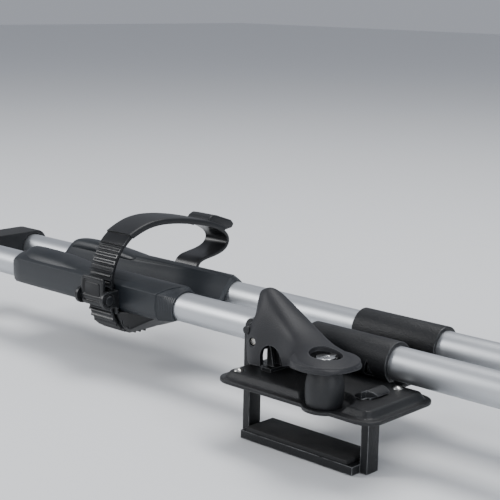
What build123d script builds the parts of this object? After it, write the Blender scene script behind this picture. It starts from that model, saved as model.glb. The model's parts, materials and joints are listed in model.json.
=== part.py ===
from build123d import *
import math
import os

# A roof mounted bike carrier: a rail of two tubes on two clamping feet, two wheel holders and a frame arm.
# The frame: +X runs along the rail, -Y is the lever side, +Z is up.
# The origin is the middle of the rear foot's seat on the crossbar.

# Fits and overruns
RUN_GAP = 0.3
SNUG_GAP = 0.1
PIN_GAP = 0.05
CUT_OVER = 2.0

# Crossbar size that the feet fit
BAR_WIDTH = 80.0
BAR_HEIGHT = 28.0
BAR_SIDE_GAP = 2.0

# Rail
TUBE_R = 10.0
TUBE_WALL = 1.5
TUBE_PITCH = 48.0
RAIL_LENGTH = 1460.0
RAIL_OVERHANG = 380.0
FOOT_SPREAD = 700.0

# Foot plate and pad
PAD_T = 1.5
PLATE_T = 2.5
PLATE_RISE = 4.0
PLATE_LEFT = 50.0
PLATE_RIGHT = 66.0
PLATE_NEAR = 87.0
PLATE_FAR = 24.0
PLATE_CORNER_R = 11.0
TONGUE_LEFT = 25.0
TONGUE_RIGHT = 37.0
TONGUE_FAR = 40.0
PLATFORM_INSET = 4.0
PLATFORM_CORNER_R = 6.0
BEAD_ANGLE = 35.0
RIVET_R = 3.0
RIVET_SHANK_R = 2.0
RIVET_DOME = 1.6
RIVET_LEFT = 38.5
RIVET_NEAR = 76.5
RIVET_RIGHT = 46.0
RIVET_FAR = 36.0

# Tube saddle
SADDLE_T = 2.5
SADDLE_LEFT = 25.0
SADDLE_RIGHT = 37.0
SADDLE_SLIT = 6.0
SCREW_R = 4.0
SCREW_HEAD_R = 7.0
SCREW_HEAD_H = 5.0
SCREW_PITCH = 34.0
HEX_SIDES = 6
NOTCH_WIDTH = 7.0
NOTCH_HEIGHT = 9.0
NOTCH_INSET = 13.0

# Clamping lever
LEVER_Y = 58.0
HINGE_X = 34.0
HINGE_RISE = 17.0
DRAW_ARM = 8.0
LEVER_TRAVEL = 90.0
LEVER_WALL = 3.0
LEVER_WIDTH = 24.0
LEVER_BACK = 10.0
LEVER_TOP = 46.0
LEVER_TOP_R = 8.0
LEVER_TOP_W = 6.0
LEVER_SWING_R = 16.4
LEVER_FLOOR = 3.0
LIP_R = 21.0
LIP_BOTTOM = 18.0
LIP_EDGE_H = 4.0
LIP_CROWN_H = 8.0
ARCH_X = 18.3
ARCH_R = 8.7
PIN_R = 2.5
EAR_T = 2.5
EAR_R = 4.6
EAR_FOOT = 12.0
PIN_HEAD_STEP = 2.0
PIN_HEAD_T = 1.2
LIFT_GAP = 1.6
LEVER_FLARE_SHARE = 0.62
HOOK_SPOT_SHARES = (0.0, 0.25, 0.5, 0.75, 1.0)

# Clamp hook
HOOK_T = 5.0
HOOK_LEG_W = 10.0
HOOK_BASE_W = 24.0
HOOK_PAD_T = 3.0
HOOK_HEAD_R = 3.2
HOOK_HEAD_L = 19.0
EYE_R = 5.6

# Lock
POST_X = 28.0
POST_Y = 79.0
POST_R = 10.2
POST_CHAMFER = 1.0
POST_NECK_R = 5.6
CORE_R = 4.0
CORE_HEAD_R = 5.4
CORE_HEAD_H = 2.6
CORE_LUG_L = 8.0
CORE_LUG_W = 4.0
RECESS_R = 9.6
RECESS_DEPTH = 5.5
LEDGE_HOLE_R = 7.4
KEY_SLOT_W = 1.2
KEY_SLOT_L = 6.0
KEY_SLOT_DEPTH = 1.5

# Wheel holder
HOLDER_END = 135.0
TRAY_LENGTH = 174.0
TRAY_HALF_W = 38.0
TRAY_SKIRT_IN = 3.0
TRAY_RIDGE_Z = 26.5
TRAY_TOP_Z = 31.5
TRAY_TOP_Y = 24.0
TROUGH_Z = 18.0
TROUGH_HALF_W = 8.0
TRAY_WALL = 3.0
TRAY_END_BEVEL = 13.0
SHOULDER_H = 4.0
SHOULDER_LENGTH = 52.0
SHOULDER_Y0 = 15.0
STRAP_FROM_END = 67.0
STRAP_WIDTH = 23.0
STRAP_T = 2.4
TOOTH_H = 1.0
TOOTH_PITCH = 4.0
BELLY_LEFT = 26.0
BELLY_RIGHT = 47.0
BELLY_CHEEK = 3.0
BELLY_SLOPE = 12.0
BELLY_HALF_Y = 30.0
BELLY_DEPTH = 18.0
BELLY_CORNER_R = 14.0
TRAY_SCREW_R = 2.5
TRAY_SCREW_HEAD_R = 4.5
TRAY_SCREW_PITCH = 46.0
SCREW_DEPTH = 14.0
ANCHOR_Z = 18.0
ANCHOR_PITCH = 9.0
ANCHOR_RUN = 15.0
TAIL_END = 8.0
STRAP_BEND_R = 6.0
ARCH_REACH = 76.0
ARCH_HEIGHT = 65.0
STRAP_ARCH_SHARES = ((-0.46, 0.64), (-0.37, 0.86), (-0.17, 0.96), (0.0, 1.0), (0.28, 0.96), (0.62, 0.87),
                     (0.86, 0.79), (1.0, 0.66), (0.86, 0.50))
TOOTHED_SHARE = 0.42
PROTECTOR_T = 1.8
PROTECTOR_WIDTH = 34.0
PROTECTOR_SHARES = (-0.2, 0.9)
TONGUE_SHARES = (1.1, 0.70)
TAB_SHARES = ((0.68, 0.913), (0.74, 1.008), (0.98, 0.913), (1.04, 0.849), (1.0, 0.786))

# Buckle
BUCKLE_HEIGHT = 26.0
BUCKLE_Z = 19.0
BUCKLE_BACK_T = 1.6
BUCKLE_WIDTH = 29.0
BUCKLE_CHEEK_T = 2.6
BUCKLE_BOSS_R = 6.0
BUCKLE_PIN_R = 1.6
BUCKLE_PIN_Z = 17.0
BUCKLE_HUB_WALL = 1.4
CHEEK_SHARE = 0.6
BUCKLE_PAD_T = 3.0
BUCKLE_PAD_RIM = 3.0
BUCKLE_PAD_DISH = 1.0

# End caps
CAP_DEPTH = 26.0
CAP_SOCKET = 18.0
CAP_WALL = 3.0
CAP_CORNER_R = 5.0

# Frame arm
ARM_X = 430.0
ARM_BASE_LENGTH = 90.0
ARM_BASE_T = 3.0
ARM_EAR_T = 4.0
ARM_EAR_R = 15.0
ARM_PIVOT_RISE = 28.0
ARM_BOLT_R = 5.0
ARM_R = 15.0
ARM_WALL = 2.0
ARM_LENGTH = 430.0
CLAW_WIDTH = 34.0
CLAW_BLOCK_H = 34.0
CLAW_KEY = 16.0
CLAW_SOCKET = 30.0
CLAW_SOCKET_WALL = 3.0
CLAW_MOUTH = 62.0
CLAW_REACH = 52.0
CLAW_TIP_T = 12.0
CLAW_PAD_T = 4.0
JAW_TRAVEL = 28.0
CLAW_SCREW_R = 5.0
KNOB_R = 24.0
KNOB_H = 26.0
KNOB_LOBES = 6
KNOB_LOBE_R = 5.0
KNOB_CORE_R = 5.0
KNOB_CORE_DEPTH = 9.0

# Heights and places that follow
PLATE_BOTTOM = PAD_T
RIM_TOP = PAD_T + PLATE_T
PLATFORM_TOP = RIM_TOP + PLATE_RISE
TUBE_Z = PLATFORM_TOP + SNUG_GAP + TUBE_R
NEAR_Y = -TUBE_PITCH / 2
FAR_Y = TUBE_PITCH / 2
RAIL_START = -RAIL_OVERHANG
RAIL_END = RAIL_START + RAIL_LENGTH
BEAD_RUN = PLATE_RISE * math.tan(math.radians(BEAD_ANGLE))
HINGE_Z = PLATFORM_TOP + HINGE_RISE
HALF_TRAVEL = LEVER_TRAVEL / 2
DRAW_X = -HINGE_X - DRAW_ARM * math.cos(math.radians(HALF_TRAVEL))
DRAW_Z = HINGE_Z + DRAW_ARM * math.sin(math.radians(HALF_TRAVEL))
HOOK_PIVOT_X = BAR_WIDTH / 2 + BAR_SIDE_GAP + HOOK_T / 2
HOOK_PIVOT_Z = PLATFORM_TOP + SNUG_GAP + HOOK_HEAD_R
STRAP_X = -HOLDER_END - STRAP_FROM_END
TRAY_X0 = -HOLDER_END - TRAY_LENGTH


def block(x0, x1, y0, y1, z0, z1):
    """A box between two corners."""
    middle = Pos((x0 + x1) / 2, (y0 + y1) / 2, (z0 + z1) / 2)
    return middle * Box(abs(x1 - x0), abs(y1 - y0), abs(z1 - z0))


def rod_x(x0, x1, y, z, radius):
    return Pos((x0 + x1) / 2, y, z) * Rot(0, 90, 0) * Cylinder(radius, abs(x1 - x0))


def rod_y(y0, y1, x, z, radius):
    return Pos(x, (y0 + y1) / 2, z) * Rot(90, 0, 0) * Cylinder(radius, abs(y1 - y0))


def rod_z(z0, z1, x, y, radius):
    return Pos(x, y, (z0 + z1) / 2) * Cylinder(radius, abs(z1 - z0))


def slab(points, z0, z1):
    """A flat outline in X and Y, raised from z0 to z1."""
    return Pos(0, 0, z0) * extrude(make_face(Polyline(*points, close=True)), z1 - z0)


def side_plate(points, y0, y1):
    """An outline in X and Z, as thick as from y0 to y1."""
    outline = [(x, y0, z) for x, z in points]
    return extrude(make_face(Polyline(*outline, close=True)), amount=y1 - y0, dir=(0, 1, 0))


def cross_bar(points, x0, x1):
    """An outline in Y and Z, as long as from x0 to x1."""
    outline = [(x0, y, z) for y, z in points]
    return extrude(make_face(Polyline(*outline, close=True)), amount=x1 - x0, dir=(1, 0, 0))


def solids_of(shape):
    return list(shape.solids())


def write(name, shape):
    """One file for each sub-part."""
    pieces = solids_of(shape)
    kept = pieces[0] if len(pieces) == 1 else Compound(children=pieces)
    export_step(kept, os.path.join("parts", name + ".step"))


def rail_tube(y):
    outer = rod_x(RAIL_START, RAIL_END, y, TUBE_Z, TUBE_R)
    return outer - rod_x(RAIL_START, RAIL_END, y, TUBE_Z, TUBE_R - TUBE_WALL)


def end_cap(end_x, outward):
    """A moulded bridge that takes both tube ends in blind sockets."""
    half_y = TUBE_PITCH / 2 + TUBE_R + CAP_WALL
    half_z = TUBE_R + CAP_WALL
    inner_x = end_x - outward * CAP_SOCKET
    outer_x = inner_x + outward * CAP_DEPTH
    cap = block(inner_x, outer_x, -half_y, half_y, TUBE_Z - half_z, TUBE_Z + half_z)
    cap = fillet(cap.edges().filter_by(Axis.X), half_z - CAP_WALL)
    outer_face = cap.faces().filter_by(Axis.X).sort_by(Axis.X)[-1 if outward > 0 else 0]
    cap = fillet(outer_face.edges(), CAP_CORNER_R)
    for y in (NEAR_Y, FAR_Y):
        cap -= rod_x(inner_x - outward * CUT_OVER, end_x + outward * SNUG_GAP, y, TUBE_Z, TUBE_R + SNUG_GAP)
    return cap


def rim_face():
    """The plate's outline: a pan, a bulge round the post and a tongue under both tubes."""
    pan = RectangleRounded(PLATE_LEFT + PLATE_RIGHT, PLATE_NEAR - PLATE_FAR, PLATE_CORNER_R)
    pan = Pos((PLATE_RIGHT - PLATE_LEFT) / 2, -(PLATE_NEAR + PLATE_FAR) / 2) * pan
    bulge = Pos(POST_X, -POST_Y) * Circle(POST_R + PLATE_T)
    tongue = Rectangle(TONGUE_LEFT + TONGUE_RIGHT, TONGUE_FAR + PLATE_FAR + PLATE_CORNER_R)
    tongue = Pos((TONGUE_RIGHT - TONGUE_LEFT) / 2, (TONGUE_FAR - PLATE_FAR - PLATE_CORNER_R) / 2) * tongue
    return pan + bulge + tongue


def platform_face():
    """The raised part of the plate, cut back round the post."""
    width = PLATE_LEFT + PLATE_RIGHT - 2 * PLATFORM_INSET
    depth = PLATE_NEAR - PLATE_FAR - 2 * PLATFORM_INSET
    pan = Pos((PLATE_RIGHT - PLATE_LEFT) / 2, -(PLATE_NEAR + PLATE_FAR) / 2)
    pan = pan * RectangleRounded(width, depth, PLATFORM_CORNER_R)
    seat = Pos(POST_X, -POST_Y) * Circle(POST_R + PLATFORM_INSET)
    reach = TONGUE_FAR + PLATE_FAR + PLATE_CORNER_R
    tongue = Rectangle(TONGUE_LEFT + TONGUE_RIGHT - 2 * PLATFORM_INSET, reach)
    shift = (TONGUE_FAR - PLATE_FAR - PLATE_CORNER_R) / 2 - PLATFORM_INSET
    return pan + Pos((TONGUE_RIGHT - TONGUE_LEFT) / 2, shift) * tongue - seat


def saddle_screw_places():
    middle = (TONGUE_RIGHT - TONGUE_LEFT) / 2
    return [middle - SCREW_PITCH / 2, middle + SCREW_PITCH / 2]


def rivet_places():
    return [(-RIVET_LEFT, -RIVET_NEAR), (RIVET_RIGHT, -RIVET_FAR)]


def foot_plate():
    rim = Pos(0, 0, PLATE_BOTTOM) * extrude(rim_face(), PLATE_T)
    raised = extrude(platform_face(), PLATE_RISE, taper=BEAD_ANGLE)
    plate = rim + Pos(0, 0, RIM_TOP) * raised - Pos(0, 0, PLATE_BOTTOM) * raised
    leg_half = HOOK_LEG_W / 2 + 2 * RUN_GAP
    leg_x = BAR_WIDTH / 2 + BAR_SIDE_GAP
    leg_slot = block(-leg_x - HOOK_T - BAR_SIDE_GAP, -leg_x + BAR_SIDE_GAP, -LEVER_Y - leg_half,
                     -LEVER_Y + leg_half, 0, PLATFORM_TOP + CUT_OVER)
    hook_slot = block(leg_x - BAR_SIDE_GAP / 2, leg_x + HOOK_T + BAR_SIDE_GAP / 2, -LEVER_Y - leg_half,
                      -LEVER_Y + leg_half, 0, PLATFORM_TOP + CUT_OVER)
    plate -= leg_slot + hook_slot
    for x, y in rivet_places():
        plate -= rod_z(0, PLATFORM_TOP + CUT_OVER, x, y, RIVET_SHANK_R + SNUG_GAP)
    for x in saddle_screw_places():
        plate -= rod_z(0, PLATFORM_TOP + CUT_OVER, x, 0, SCREW_R + SNUG_GAP)
    return plate


def bar_pad():
    """The rubber that lies on the crossbar and fills the pressed platform from below."""
    half_x = BAR_WIDTH / 2 - BAR_SIDE_GAP
    near = PLATE_NEAR - PLATFORM_INSET - BEAD_RUN
    far = TONGUE_FAR - PLATFORM_INSET
    pad = block(-half_x, half_x, -near, -PLATE_FAR, 0, PAD_T)
    pad += block(-TONGUE_LEFT + PLATFORM_INSET, TONGUE_RIGHT - PLATFORM_INSET, -PLATE_FAR, far, 0, PAD_T)
    fill_top = PLATE_BOTTOM + PLATE_RISE - SNUG_GAP
    fill_far = PLATE_FAR + PLATFORM_INSET + BEAD_RUN
    pad += block(-half_x, half_x, -near, -fill_far, 0, fill_top)
    tongue_x0 = -TONGUE_LEFT + PLATFORM_INSET + BEAD_RUN
    tongue_x1 = TONGUE_RIGHT - PLATFORM_INSET - BEAD_RUN
    pad += block(tongue_x0, tongue_x1, -fill_far, far - PLATFORM_INSET - BEAD_RUN, 0, fill_top)
    pad -= rod_z(-CUT_OVER, fill_top + CUT_OVER, POST_X, -POST_Y, POST_R + PLATFORM_INSET + BEAD_RUN)
    for x in saddle_screw_places():
        pad -= rod_z(-CUT_OVER, fill_top + CUT_OVER, x, 0, SCREW_R + RUN_GAP)
    for x, y in rivet_places():
        pad -= rod_z(-CUT_OVER, fill_top + CUT_OVER, x, y, RIVET_R + RUN_GAP)
    return pad


def pad_rivets():
    rivets = []
    for x, y in rivet_places():
        shank = rod_z(PLATFORM_TOP - PLATE_T - PLATE_T / 2, PLATFORM_TOP, x, y, RIVET_SHANK_R)
        foot = rod_z(PLATFORM_TOP - PLATE_T - PLATE_T / 2, PLATFORM_TOP - PLATE_T - SNUG_GAP, x, y, RIVET_R)
        ball_r = (RIVET_R**2 + RIVET_DOME**2) / (2 * RIVET_DOME)
        ball = Pos(x, y, PLATFORM_TOP + RIVET_DOME - ball_r) * Sphere(ball_r)
        dome = ball & rod_z(PLATFORM_TOP, PLATFORM_TOP + RIVET_DOME + CUT_OVER, x, y, RIVET_R)
        rivets += [shank + foot + dome]
    return Compound(children=[solids_of(rivet)[0] for rivet in rivets])


def tube_saddle():
    """A pressed sheet that wraps both tubes and lies on the tongue between them."""
    inner_r = TUBE_R + SNUG_GAP
    outer_r = inner_r + SADDLE_T
    sheet = block(-SADDLE_LEFT, SADDLE_RIGHT, NEAR_Y, FAR_Y, PLATFORM_TOP, PLATFORM_TOP + SADDLE_T)
    for y in (NEAR_Y, FAR_Y):
        sheet += rod_x(-SADDLE_LEFT, SADDLE_RIGHT, y, TUBE_Z, outer_r)
    for y in (NEAR_Y, FAR_Y):
        sheet -= rod_x(-SADDLE_LEFT - CUT_OVER, SADDLE_RIGHT + CUT_OVER, y, TUBE_Z, inner_r)
    below = PLATFORM_TOP - outer_r
    x0 = -SADDLE_LEFT - CUT_OVER
    x1 = SADDLE_RIGHT + CUT_OVER
    sheet -= block(x0, x1, NEAR_Y - 2 * outer_r, FAR_Y + 2 * outer_r, below, PLATFORM_TOP)
    for y in (NEAR_Y, FAR_Y):
        sheet -= block(x0, x1, y - SADDLE_SLIT / 2, y + SADDLE_SLIT / 2, below, TUBE_Z)
    sheet = sheet.solids().sort_by(SortBy.VOLUME)[-1]
    notch_x = SADDLE_RIGHT - NOTCH_INSET
    notch_z = PLATFORM_TOP + SADDLE_T
    notch = [(notch_x - NOTCH_WIDTH / 2, notch_z), (notch_x + NOTCH_WIDTH / 2, notch_z),
             (notch_x, notch_z + NOTCH_HEIGHT)]
    sheet -= side_plate(notch, NEAR_Y - 2 * outer_r, NEAR_Y)
    for x in saddle_screw_places():
        sheet -= rod_z(PLATFORM_TOP - CUT_OVER, PLATFORM_TOP + SADDLE_T + CUT_OVER, x, 0, SCREW_R + SNUG_GAP)
    return sheet


def saddle_screws():
    head_z = PLATFORM_TOP + SADDLE_T
    screws = []
    for x in saddle_screw_places():
        hexagon = Pos(x, 0, head_z) * extrude(RegularPolygon(SCREW_HEAD_R, HEX_SIDES), SCREW_HEAD_H)
        shank = rod_z(PAD_T, head_z, x, 0, SCREW_R)
        screws += [hexagon + shank]
    return Compound(children=[solids_of(screw)[0] for screw in screws])


def lock_post():
    foot = rod_z(RIM_TOP, PLATFORM_TOP + LIP_BOTTOM - RUN_GAP, POST_X, -POST_Y, POST_R)
    foot = chamfer(foot.edges().sort_by(Axis.Z)[-1], POST_CHAMFER)
    neck_top = lip_ledge_top() - RUN_GAP
    neck = rod_z(PLATFORM_TOP, neck_top, POST_X, -POST_Y, POST_NECK_R)
    post = foot + neck
    return post - rod_z(RIM_TOP + PLATE_RISE, neck_top + CUT_OVER, POST_X, -POST_Y, CORE_R + PIN_GAP)


def lip_ledge_top():
    return PLATFORM_TOP + LIP_BOTTOM + LIP_CROWN_H - RECESS_DEPTH


def lock_core():
    """The key core: a barrel in the post and a head with two lugs above the lever's ledge."""
    barrel_z = RIM_TOP + PLATE_RISE + RUN_GAP
    head_z = lip_ledge_top() + RUN_GAP
    head_top = head_z + CORE_HEAD_H
    core = rod_z(barrel_z, head_top, POST_X, -POST_Y, CORE_R)
    core += rod_z(head_z, head_top, POST_X, -POST_Y, CORE_HEAD_R)
    core += block(POST_X - CORE_LUG_W / 2, POST_X + CORE_LUG_W / 2,
                  -POST_Y - CORE_LUG_L, -POST_Y + CORE_LUG_L, head_z, head_top)
    slot_top = head_top + CUT_OVER
    core -= block(POST_X - KEY_SLOT_W / 2, POST_X + KEY_SLOT_W / 2, -POST_Y - KEY_SLOT_L / 2,
                  -POST_Y + KEY_SLOT_L / 2, head_top - KEY_SLOT_DEPTH, slot_top)
    return core


def lever_profile(inset):
    """The lever's outline from the side, drawn in by a wall's thickness for its hollow."""
    back = -HINGE_X - LEVER_BACK + inset
    top = PLATFORM_TOP + LEVER_TOP - inset
    floor = PLATFORM_TOP + LEVER_FLOOR
    lip_bottom = PLATFORM_TOP + LIP_BOTTOM
    crown = lip_bottom + LIP_CROWN_H
    lip_start = POST_X - LIP_R
    return [(back, floor), (back + LEVER_TOP_R / 2, top - LEVER_TOP_R), (back + LEVER_TOP_R, top),
            (back + LEVER_TOP_R + LEVER_TOP_W, top), (lip_start - LIP_R / 4, crown + LIP_EDGE_H / 4 - inset),
            (lip_start + LIP_R / 3, crown - inset), (POST_X + LIP_R / 3, crown - inset),
            (POST_X + LIP_R, lip_bottom + LIP_EDGE_H / 2), (POST_X + LIP_R - LIP_EDGE_H / 2, lip_bottom),
            (lip_start, lip_bottom), (lip_start - LIP_R / 2, floor)]


def lever_plan():
    """The lever from above: a narrow body that widens to a round lip over the post."""
    back = -HINGE_X - LEVER_BACK - CUT_OVER
    half = LEVER_WIDTH / 2
    waist = POST_X - 2 * LIP_R
    body = [(back, -LEVER_Y + half), (POST_X, -POST_Y + LIP_R), (POST_X, -POST_Y - LIP_R),
            (POST_X - LIP_R / 2, -POST_Y - LIP_R * LEVER_FLARE_SHARE),
            (waist + LIP_R / 2, -LEVER_Y - half - LEVER_WALL), (waist, -LEVER_Y - half),
            (back, -LEVER_Y - half)]
    return make_face(Polyline(*body, close=True)) + Pos(POST_X, -POST_Y) * Circle(LIP_R)


def cam_lever():
    """The clamping lever: a hollow wedge on the cross pin, with an arch and a recess in its lip."""
    far_y = -LEVER_Y + LEVER_WIDTH
    near_y = -POST_Y - LIP_R - CUT_OVER
    lever = side_plate(lever_profile(0), near_y, far_y)
    top_z = PLATFORM_TOP + LEVER_TOP + CUT_OVER
    lever &= extrude(lever_plan(), top_z)
    inner_half = LEVER_WIDTH / 2 - LEVER_WALL
    hollow = side_plate(lever_profile(LEVER_WALL), -LEVER_Y - inner_half, -LEVER_Y + inner_half)
    hollow_end = POST_X - LIP_R
    hollow &= block(-HINGE_X - LEVER_BACK, hollow_end, -LEVER_Y - inner_half, -LEVER_Y + inner_half, 0, top_z)
    lever -= hollow
    mouth_x = -HINGE_X - LEVER_BACK - CUT_OVER
    mouth_top = HINGE_Z + BAR_WIDTH / 2 + BAR_SIDE_GAP + HOOK_T - HINGE_X + 2 * LIFT_GAP
    lever -= block(mouth_x, -HINGE_X, -LEVER_Y - inner_half, -LEVER_Y + inner_half, 0, mouth_top)
    corner = block(mouth_x, -HINGE_X, near_y, far_y, 0, HINGE_Z)
    lever -= corner - rod_y(near_y, far_y, -HINGE_X, HINGE_Z, LEVER_SWING_R)
    arch = rod_y(near_y, -LEVER_Y, -ARCH_X, PLATFORM_TOP + ARCH_R, ARCH_R)
    arch += block(-ARCH_X - ARCH_R, -ARCH_X + ARCH_R, near_y, -LEVER_Y, PLATFORM_TOP, PLATFORM_TOP + ARCH_R)
    lever -= arch
    ledge = lip_ledge_top()
    over = PLATFORM_TOP + LEVER_TOP
    lever -= rod_z(0, over, POST_X, -POST_Y, LEDGE_HOLE_R)
    lever -= rod_z(ledge, over, POST_X, -POST_Y, RECESS_R)
    lug_half_x = CORE_LUG_W / 2 + LIFT_GAP
    lug_half_y = CORE_LUG_L + 2 * RUN_GAP
    lever -= block(POST_X - lug_half_x, POST_X + lug_half_x,
                   -POST_Y - lug_half_y, -POST_Y + lug_half_y, 0, over)
    for x, z in ((-HINGE_X, HINGE_Z), (DRAW_X, DRAW_Z)):
        lever -= rod_y(-LEVER_Y - LEVER_WIDTH, -LEVER_Y + LEVER_WIDTH, x, z, PIN_R + PIN_GAP)
    return lever.solids().sort_by(SortBy.VOLUME)[-1]


def lever_pin():
    """The hinge pin, with a low head on each end."""
    half = LEVER_WIDTH / 2
    pin = rod_y(-LEVER_Y - half, -LEVER_Y + half, -HINGE_X, HINGE_Z, PIN_R)
    head_r = PIN_R + PIN_HEAD_STEP
    for side in (-1, 1):
        face = -LEVER_Y + side * (half + SNUG_GAP)
        pin += rod_y(face, face + side * PIN_HEAD_T, -HINGE_X, HINGE_Z, head_r)
        pin += rod_y(-LEVER_Y, face, -HINGE_X, HINGE_Z, PIN_R)
    return pin


def draw_pin():
    half = LEVER_WIDTH / 2
    return rod_y(-LEVER_Y - half, -LEVER_Y + half, DRAW_X, DRAW_Z, PIN_R)


def lever_bracket():
    """Two ears on a base plate that carry the lever's hinge pin."""
    base_z = PLATFORM_TOP
    outer = LEVER_WIDTH / 2 - LEVER_WALL - RUN_GAP
    foot_x0 = -HINGE_X + EAR_R
    foot_x1 = foot_x0 + EAR_FOOT
    bracket = block(foot_x0, foot_x1, -LEVER_Y - outer, -LEVER_Y + outer, base_z, base_z + EAR_T)
    for side in (-1, 1):
        y0, y1 = sorted((-LEVER_Y + side * outer, -LEVER_Y + side * (outer - EAR_T)))
        ear = rod_y(y0, y1, -HINGE_X, HINGE_Z, EAR_R)
        arm = [(foot_x0, base_z), (foot_x1, base_z), (foot_x1, base_z + EAR_T),
               (-HINGE_X + EAR_R / 2, HINGE_Z + EAR_R / 2),
               (-HINGE_X - EAR_R / 4, HINGE_Z - EAR_R)]
        bracket += ear + side_plate(arm, y0, y1)
    hinge_hole = rod_y(-LEVER_Y - outer - CUT_OVER, -LEVER_Y + outer + CUT_OVER, -HINGE_X, HINGE_Z,
                       PIN_R + PIN_GAP)
    return bracket - hinge_hole


def turned(point, centre, degrees):
    """A point in X and Z, turned anticlockwise as seen from the near side."""
    angle = math.radians(degrees)
    dx, dz = point[0] - centre[0], point[1] - centre[1]
    return (centre[0] + dx * math.cos(angle) - dz * math.sin(angle),
            centre[1] + dx * math.sin(angle) + dz * math.cos(angle))


def hook_swing():
    """How far the hook bracket turns about its head while the lever opens, in degrees."""
    open_x, open_z = turned((DRAW_X, DRAW_Z), (-HINGE_X, HINGE_Z), LEVER_TRAVEL)
    shut = math.atan2(DRAW_Z - HOOK_PIVOT_Z, DRAW_X - HOOK_PIVOT_X)
    opened = math.atan2(open_z - HOOK_PIVOT_Z, open_x - HOOK_PIVOT_X)
    return math.degrees(opened - shut)


def clamp_hook():
    """A flat steel bracket under the bar: an eye for the draw pin, a leg each side and a rocking head."""
    pivot = (HOOK_PIVOT_X, HOOK_PIVOT_Z)
    near = -LEVER_Y - HOOK_LEG_W / 2
    far = -LEVER_Y + HOOK_LEG_W / 2
    leg_x = BAR_WIDTH / 2 + BAR_SIDE_GAP
    base_top = -BAR_HEIGHT - HOOK_PAD_T
    base_z = base_top - HOOK_T
    hook = block(-leg_x - HOOK_T, leg_x + HOOK_T, near, far, base_z, base_top)
    wide = HOOK_BASE_W / 2
    hook += block(-leg_x, leg_x, -LEVER_Y - wide, -LEVER_Y + wide, base_z, base_top)
    hook += block(leg_x, leg_x + HOOK_T, near, far, base_top, HOOK_PIVOT_Z)
    hook += rod_y(-LEVER_Y - HOOK_HEAD_L / 2, -LEVER_Y + HOOK_HEAD_L / 2, *pivot, HOOK_HEAD_R)
    hook += block(-leg_x - HOOK_T, -leg_x, near, far, base_top, DRAW_Z - EYE_R / 2)
    pin_spots = []
    for share in HOOK_SPOT_SHARES:
        spot = turned((DRAW_X, DRAW_Z), (-HINGE_X, HINGE_Z), LEVER_TRAVEL * share)
        pin_spots += [turned(spot, pivot, -hook_swing() * share)]
    for x, z in pin_spots:
        hook += rod_y(near, far, x, z, EYE_R)
    for x, z in pin_spots:
        hook -= rod_y(near - CUT_OVER, far + CUT_OVER, x, z, PIN_R + RUN_GAP)
    for share in HOOK_SPOT_SHARES:
        x, z = turned((-HINGE_X, HINGE_Z), pivot, -hook_swing() * share)
        hook -= rod_y(near - CUT_OVER, far + CUT_OVER, x, z, PIN_R + 2 * RUN_GAP)
    return hook.solids().sort_by(SortBy.VOLUME)[-1]


def hook_pad():
    half_x = BAR_WIDTH / 2 - BAR_SIDE_GAP
    half_y = HOOK_BASE_W / 2
    return block(-half_x, half_x, -LEVER_Y - half_y, -LEVER_Y + half_y, -BAR_HEIGHT - HOOK_PAD_T, -BAR_HEIGHT)


def tray_section():
    """Half of the tray's outline in Y and Z, from its bottom edge over the ridge to the trough."""
    bottom = TUBE_Z - TUBE_R
    return [(TRAY_HALF_W - TRAY_SKIRT_IN, bottom), (TRAY_HALF_W, TRAY_RIDGE_Z),
            (TRAY_TOP_Y + TROUGH_HALF_W / 2, TRAY_TOP_Z), (TRAY_TOP_Y - TROUGH_HALF_W / 2, TRAY_TOP_Z),
            (TROUGH_HALF_W, TROUGH_Z)]


def tray_end_cuts(end_x, inward):
    """Wedges that bevel an end of the tray down towards the tubes."""
    cut = TRAY_END_BEVEL
    bottom = TUBE_Z - TUBE_R - CUT_OVER
    top = TRAY_TOP_Z + SHOULDER_H + CUT_OVER
    far = TRAY_HALF_W + CUT_OVER
    slope = [(end_x, top), (end_x, TRAY_TOP_Z - cut / 2), (end_x + inward * cut * 2, top + cut)]
    wedge = side_plate(slope, -far, far)
    for side in (-1, 1):
        corner = [(end_x, side * (TRAY_HALF_W - cut)), (end_x, side * far),
                  (end_x + inward * cut, side * far)]
        wedge += slab(corner, bottom, top)
    return wedge


def wheel_tray():
    """The moulded tray: threaded on both tubes, with a trough for the tyre and a raised shoulder."""
    half = tray_section()
    outline = [(-y, z) for y, z in half] + [(y, z) for y, z in reversed(half)]
    tray = cross_bar(outline, TRAY_X0, -HOLDER_END)
    top = TRAY_TOP_Z + SHOULDER_H
    for side in (-1, 1):
        y0, y1 = sorted((side * SHOULDER_Y0, side * (TRAY_HALF_W - TRAY_SKIRT_IN)))
        run = TRAY_X0 + SHOULDER_LENGTH
        shoulder = [(TRAY_X0, TRAY_RIDGE_Z), (TRAY_X0, top), (run, top), (run + 2 * SHOULDER_H, TRAY_RIDGE_Z)]
        tray += side_plate(shoulder, y0, y1)
    tray -= tray_end_cuts(-HOLDER_END, -1)
    tray -= tray_end_cuts(TRAY_X0, 1)
    for y in (NEAR_Y, FAR_Y):
        tray -= rod_x(TRAY_X0 - CUT_OVER, CUT_OVER - HOLDER_END, y, TUBE_Z, TUBE_R + RUN_GAP)
    hollow_y = TUBE_PITCH / 2 - TUBE_R - TRAY_WALL
    tray -= block(TRAY_X0 + TRAY_WALL, STRAP_X - TRAY_SCREW_PITCH, -hollow_y, hollow_y,
                  0, TROUGH_Z - TRAY_WALL)
    for x in tray_screw_places():
        tray -= rod_z(0, TUBE_Z - TUBE_R + SCREW_DEPTH - TROUGH_HALF_W, x, 0, TRAY_SCREW_R + SNUG_GAP)
    for z in anchor_screw_places():
        tray -= rod_y(TRAY_HALF_W - TRAY_WALL - RUN_GAP, TRAY_HALF_W + CUT_OVER, STRAP_X, z,
                      TRAY_SCREW_R / 2 + SNUG_GAP)
    return tray


def tray_screw_places():
    return [STRAP_X - TRAY_SCREW_PITCH / 2, STRAP_X + TRAY_SCREW_PITCH / 2]


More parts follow.
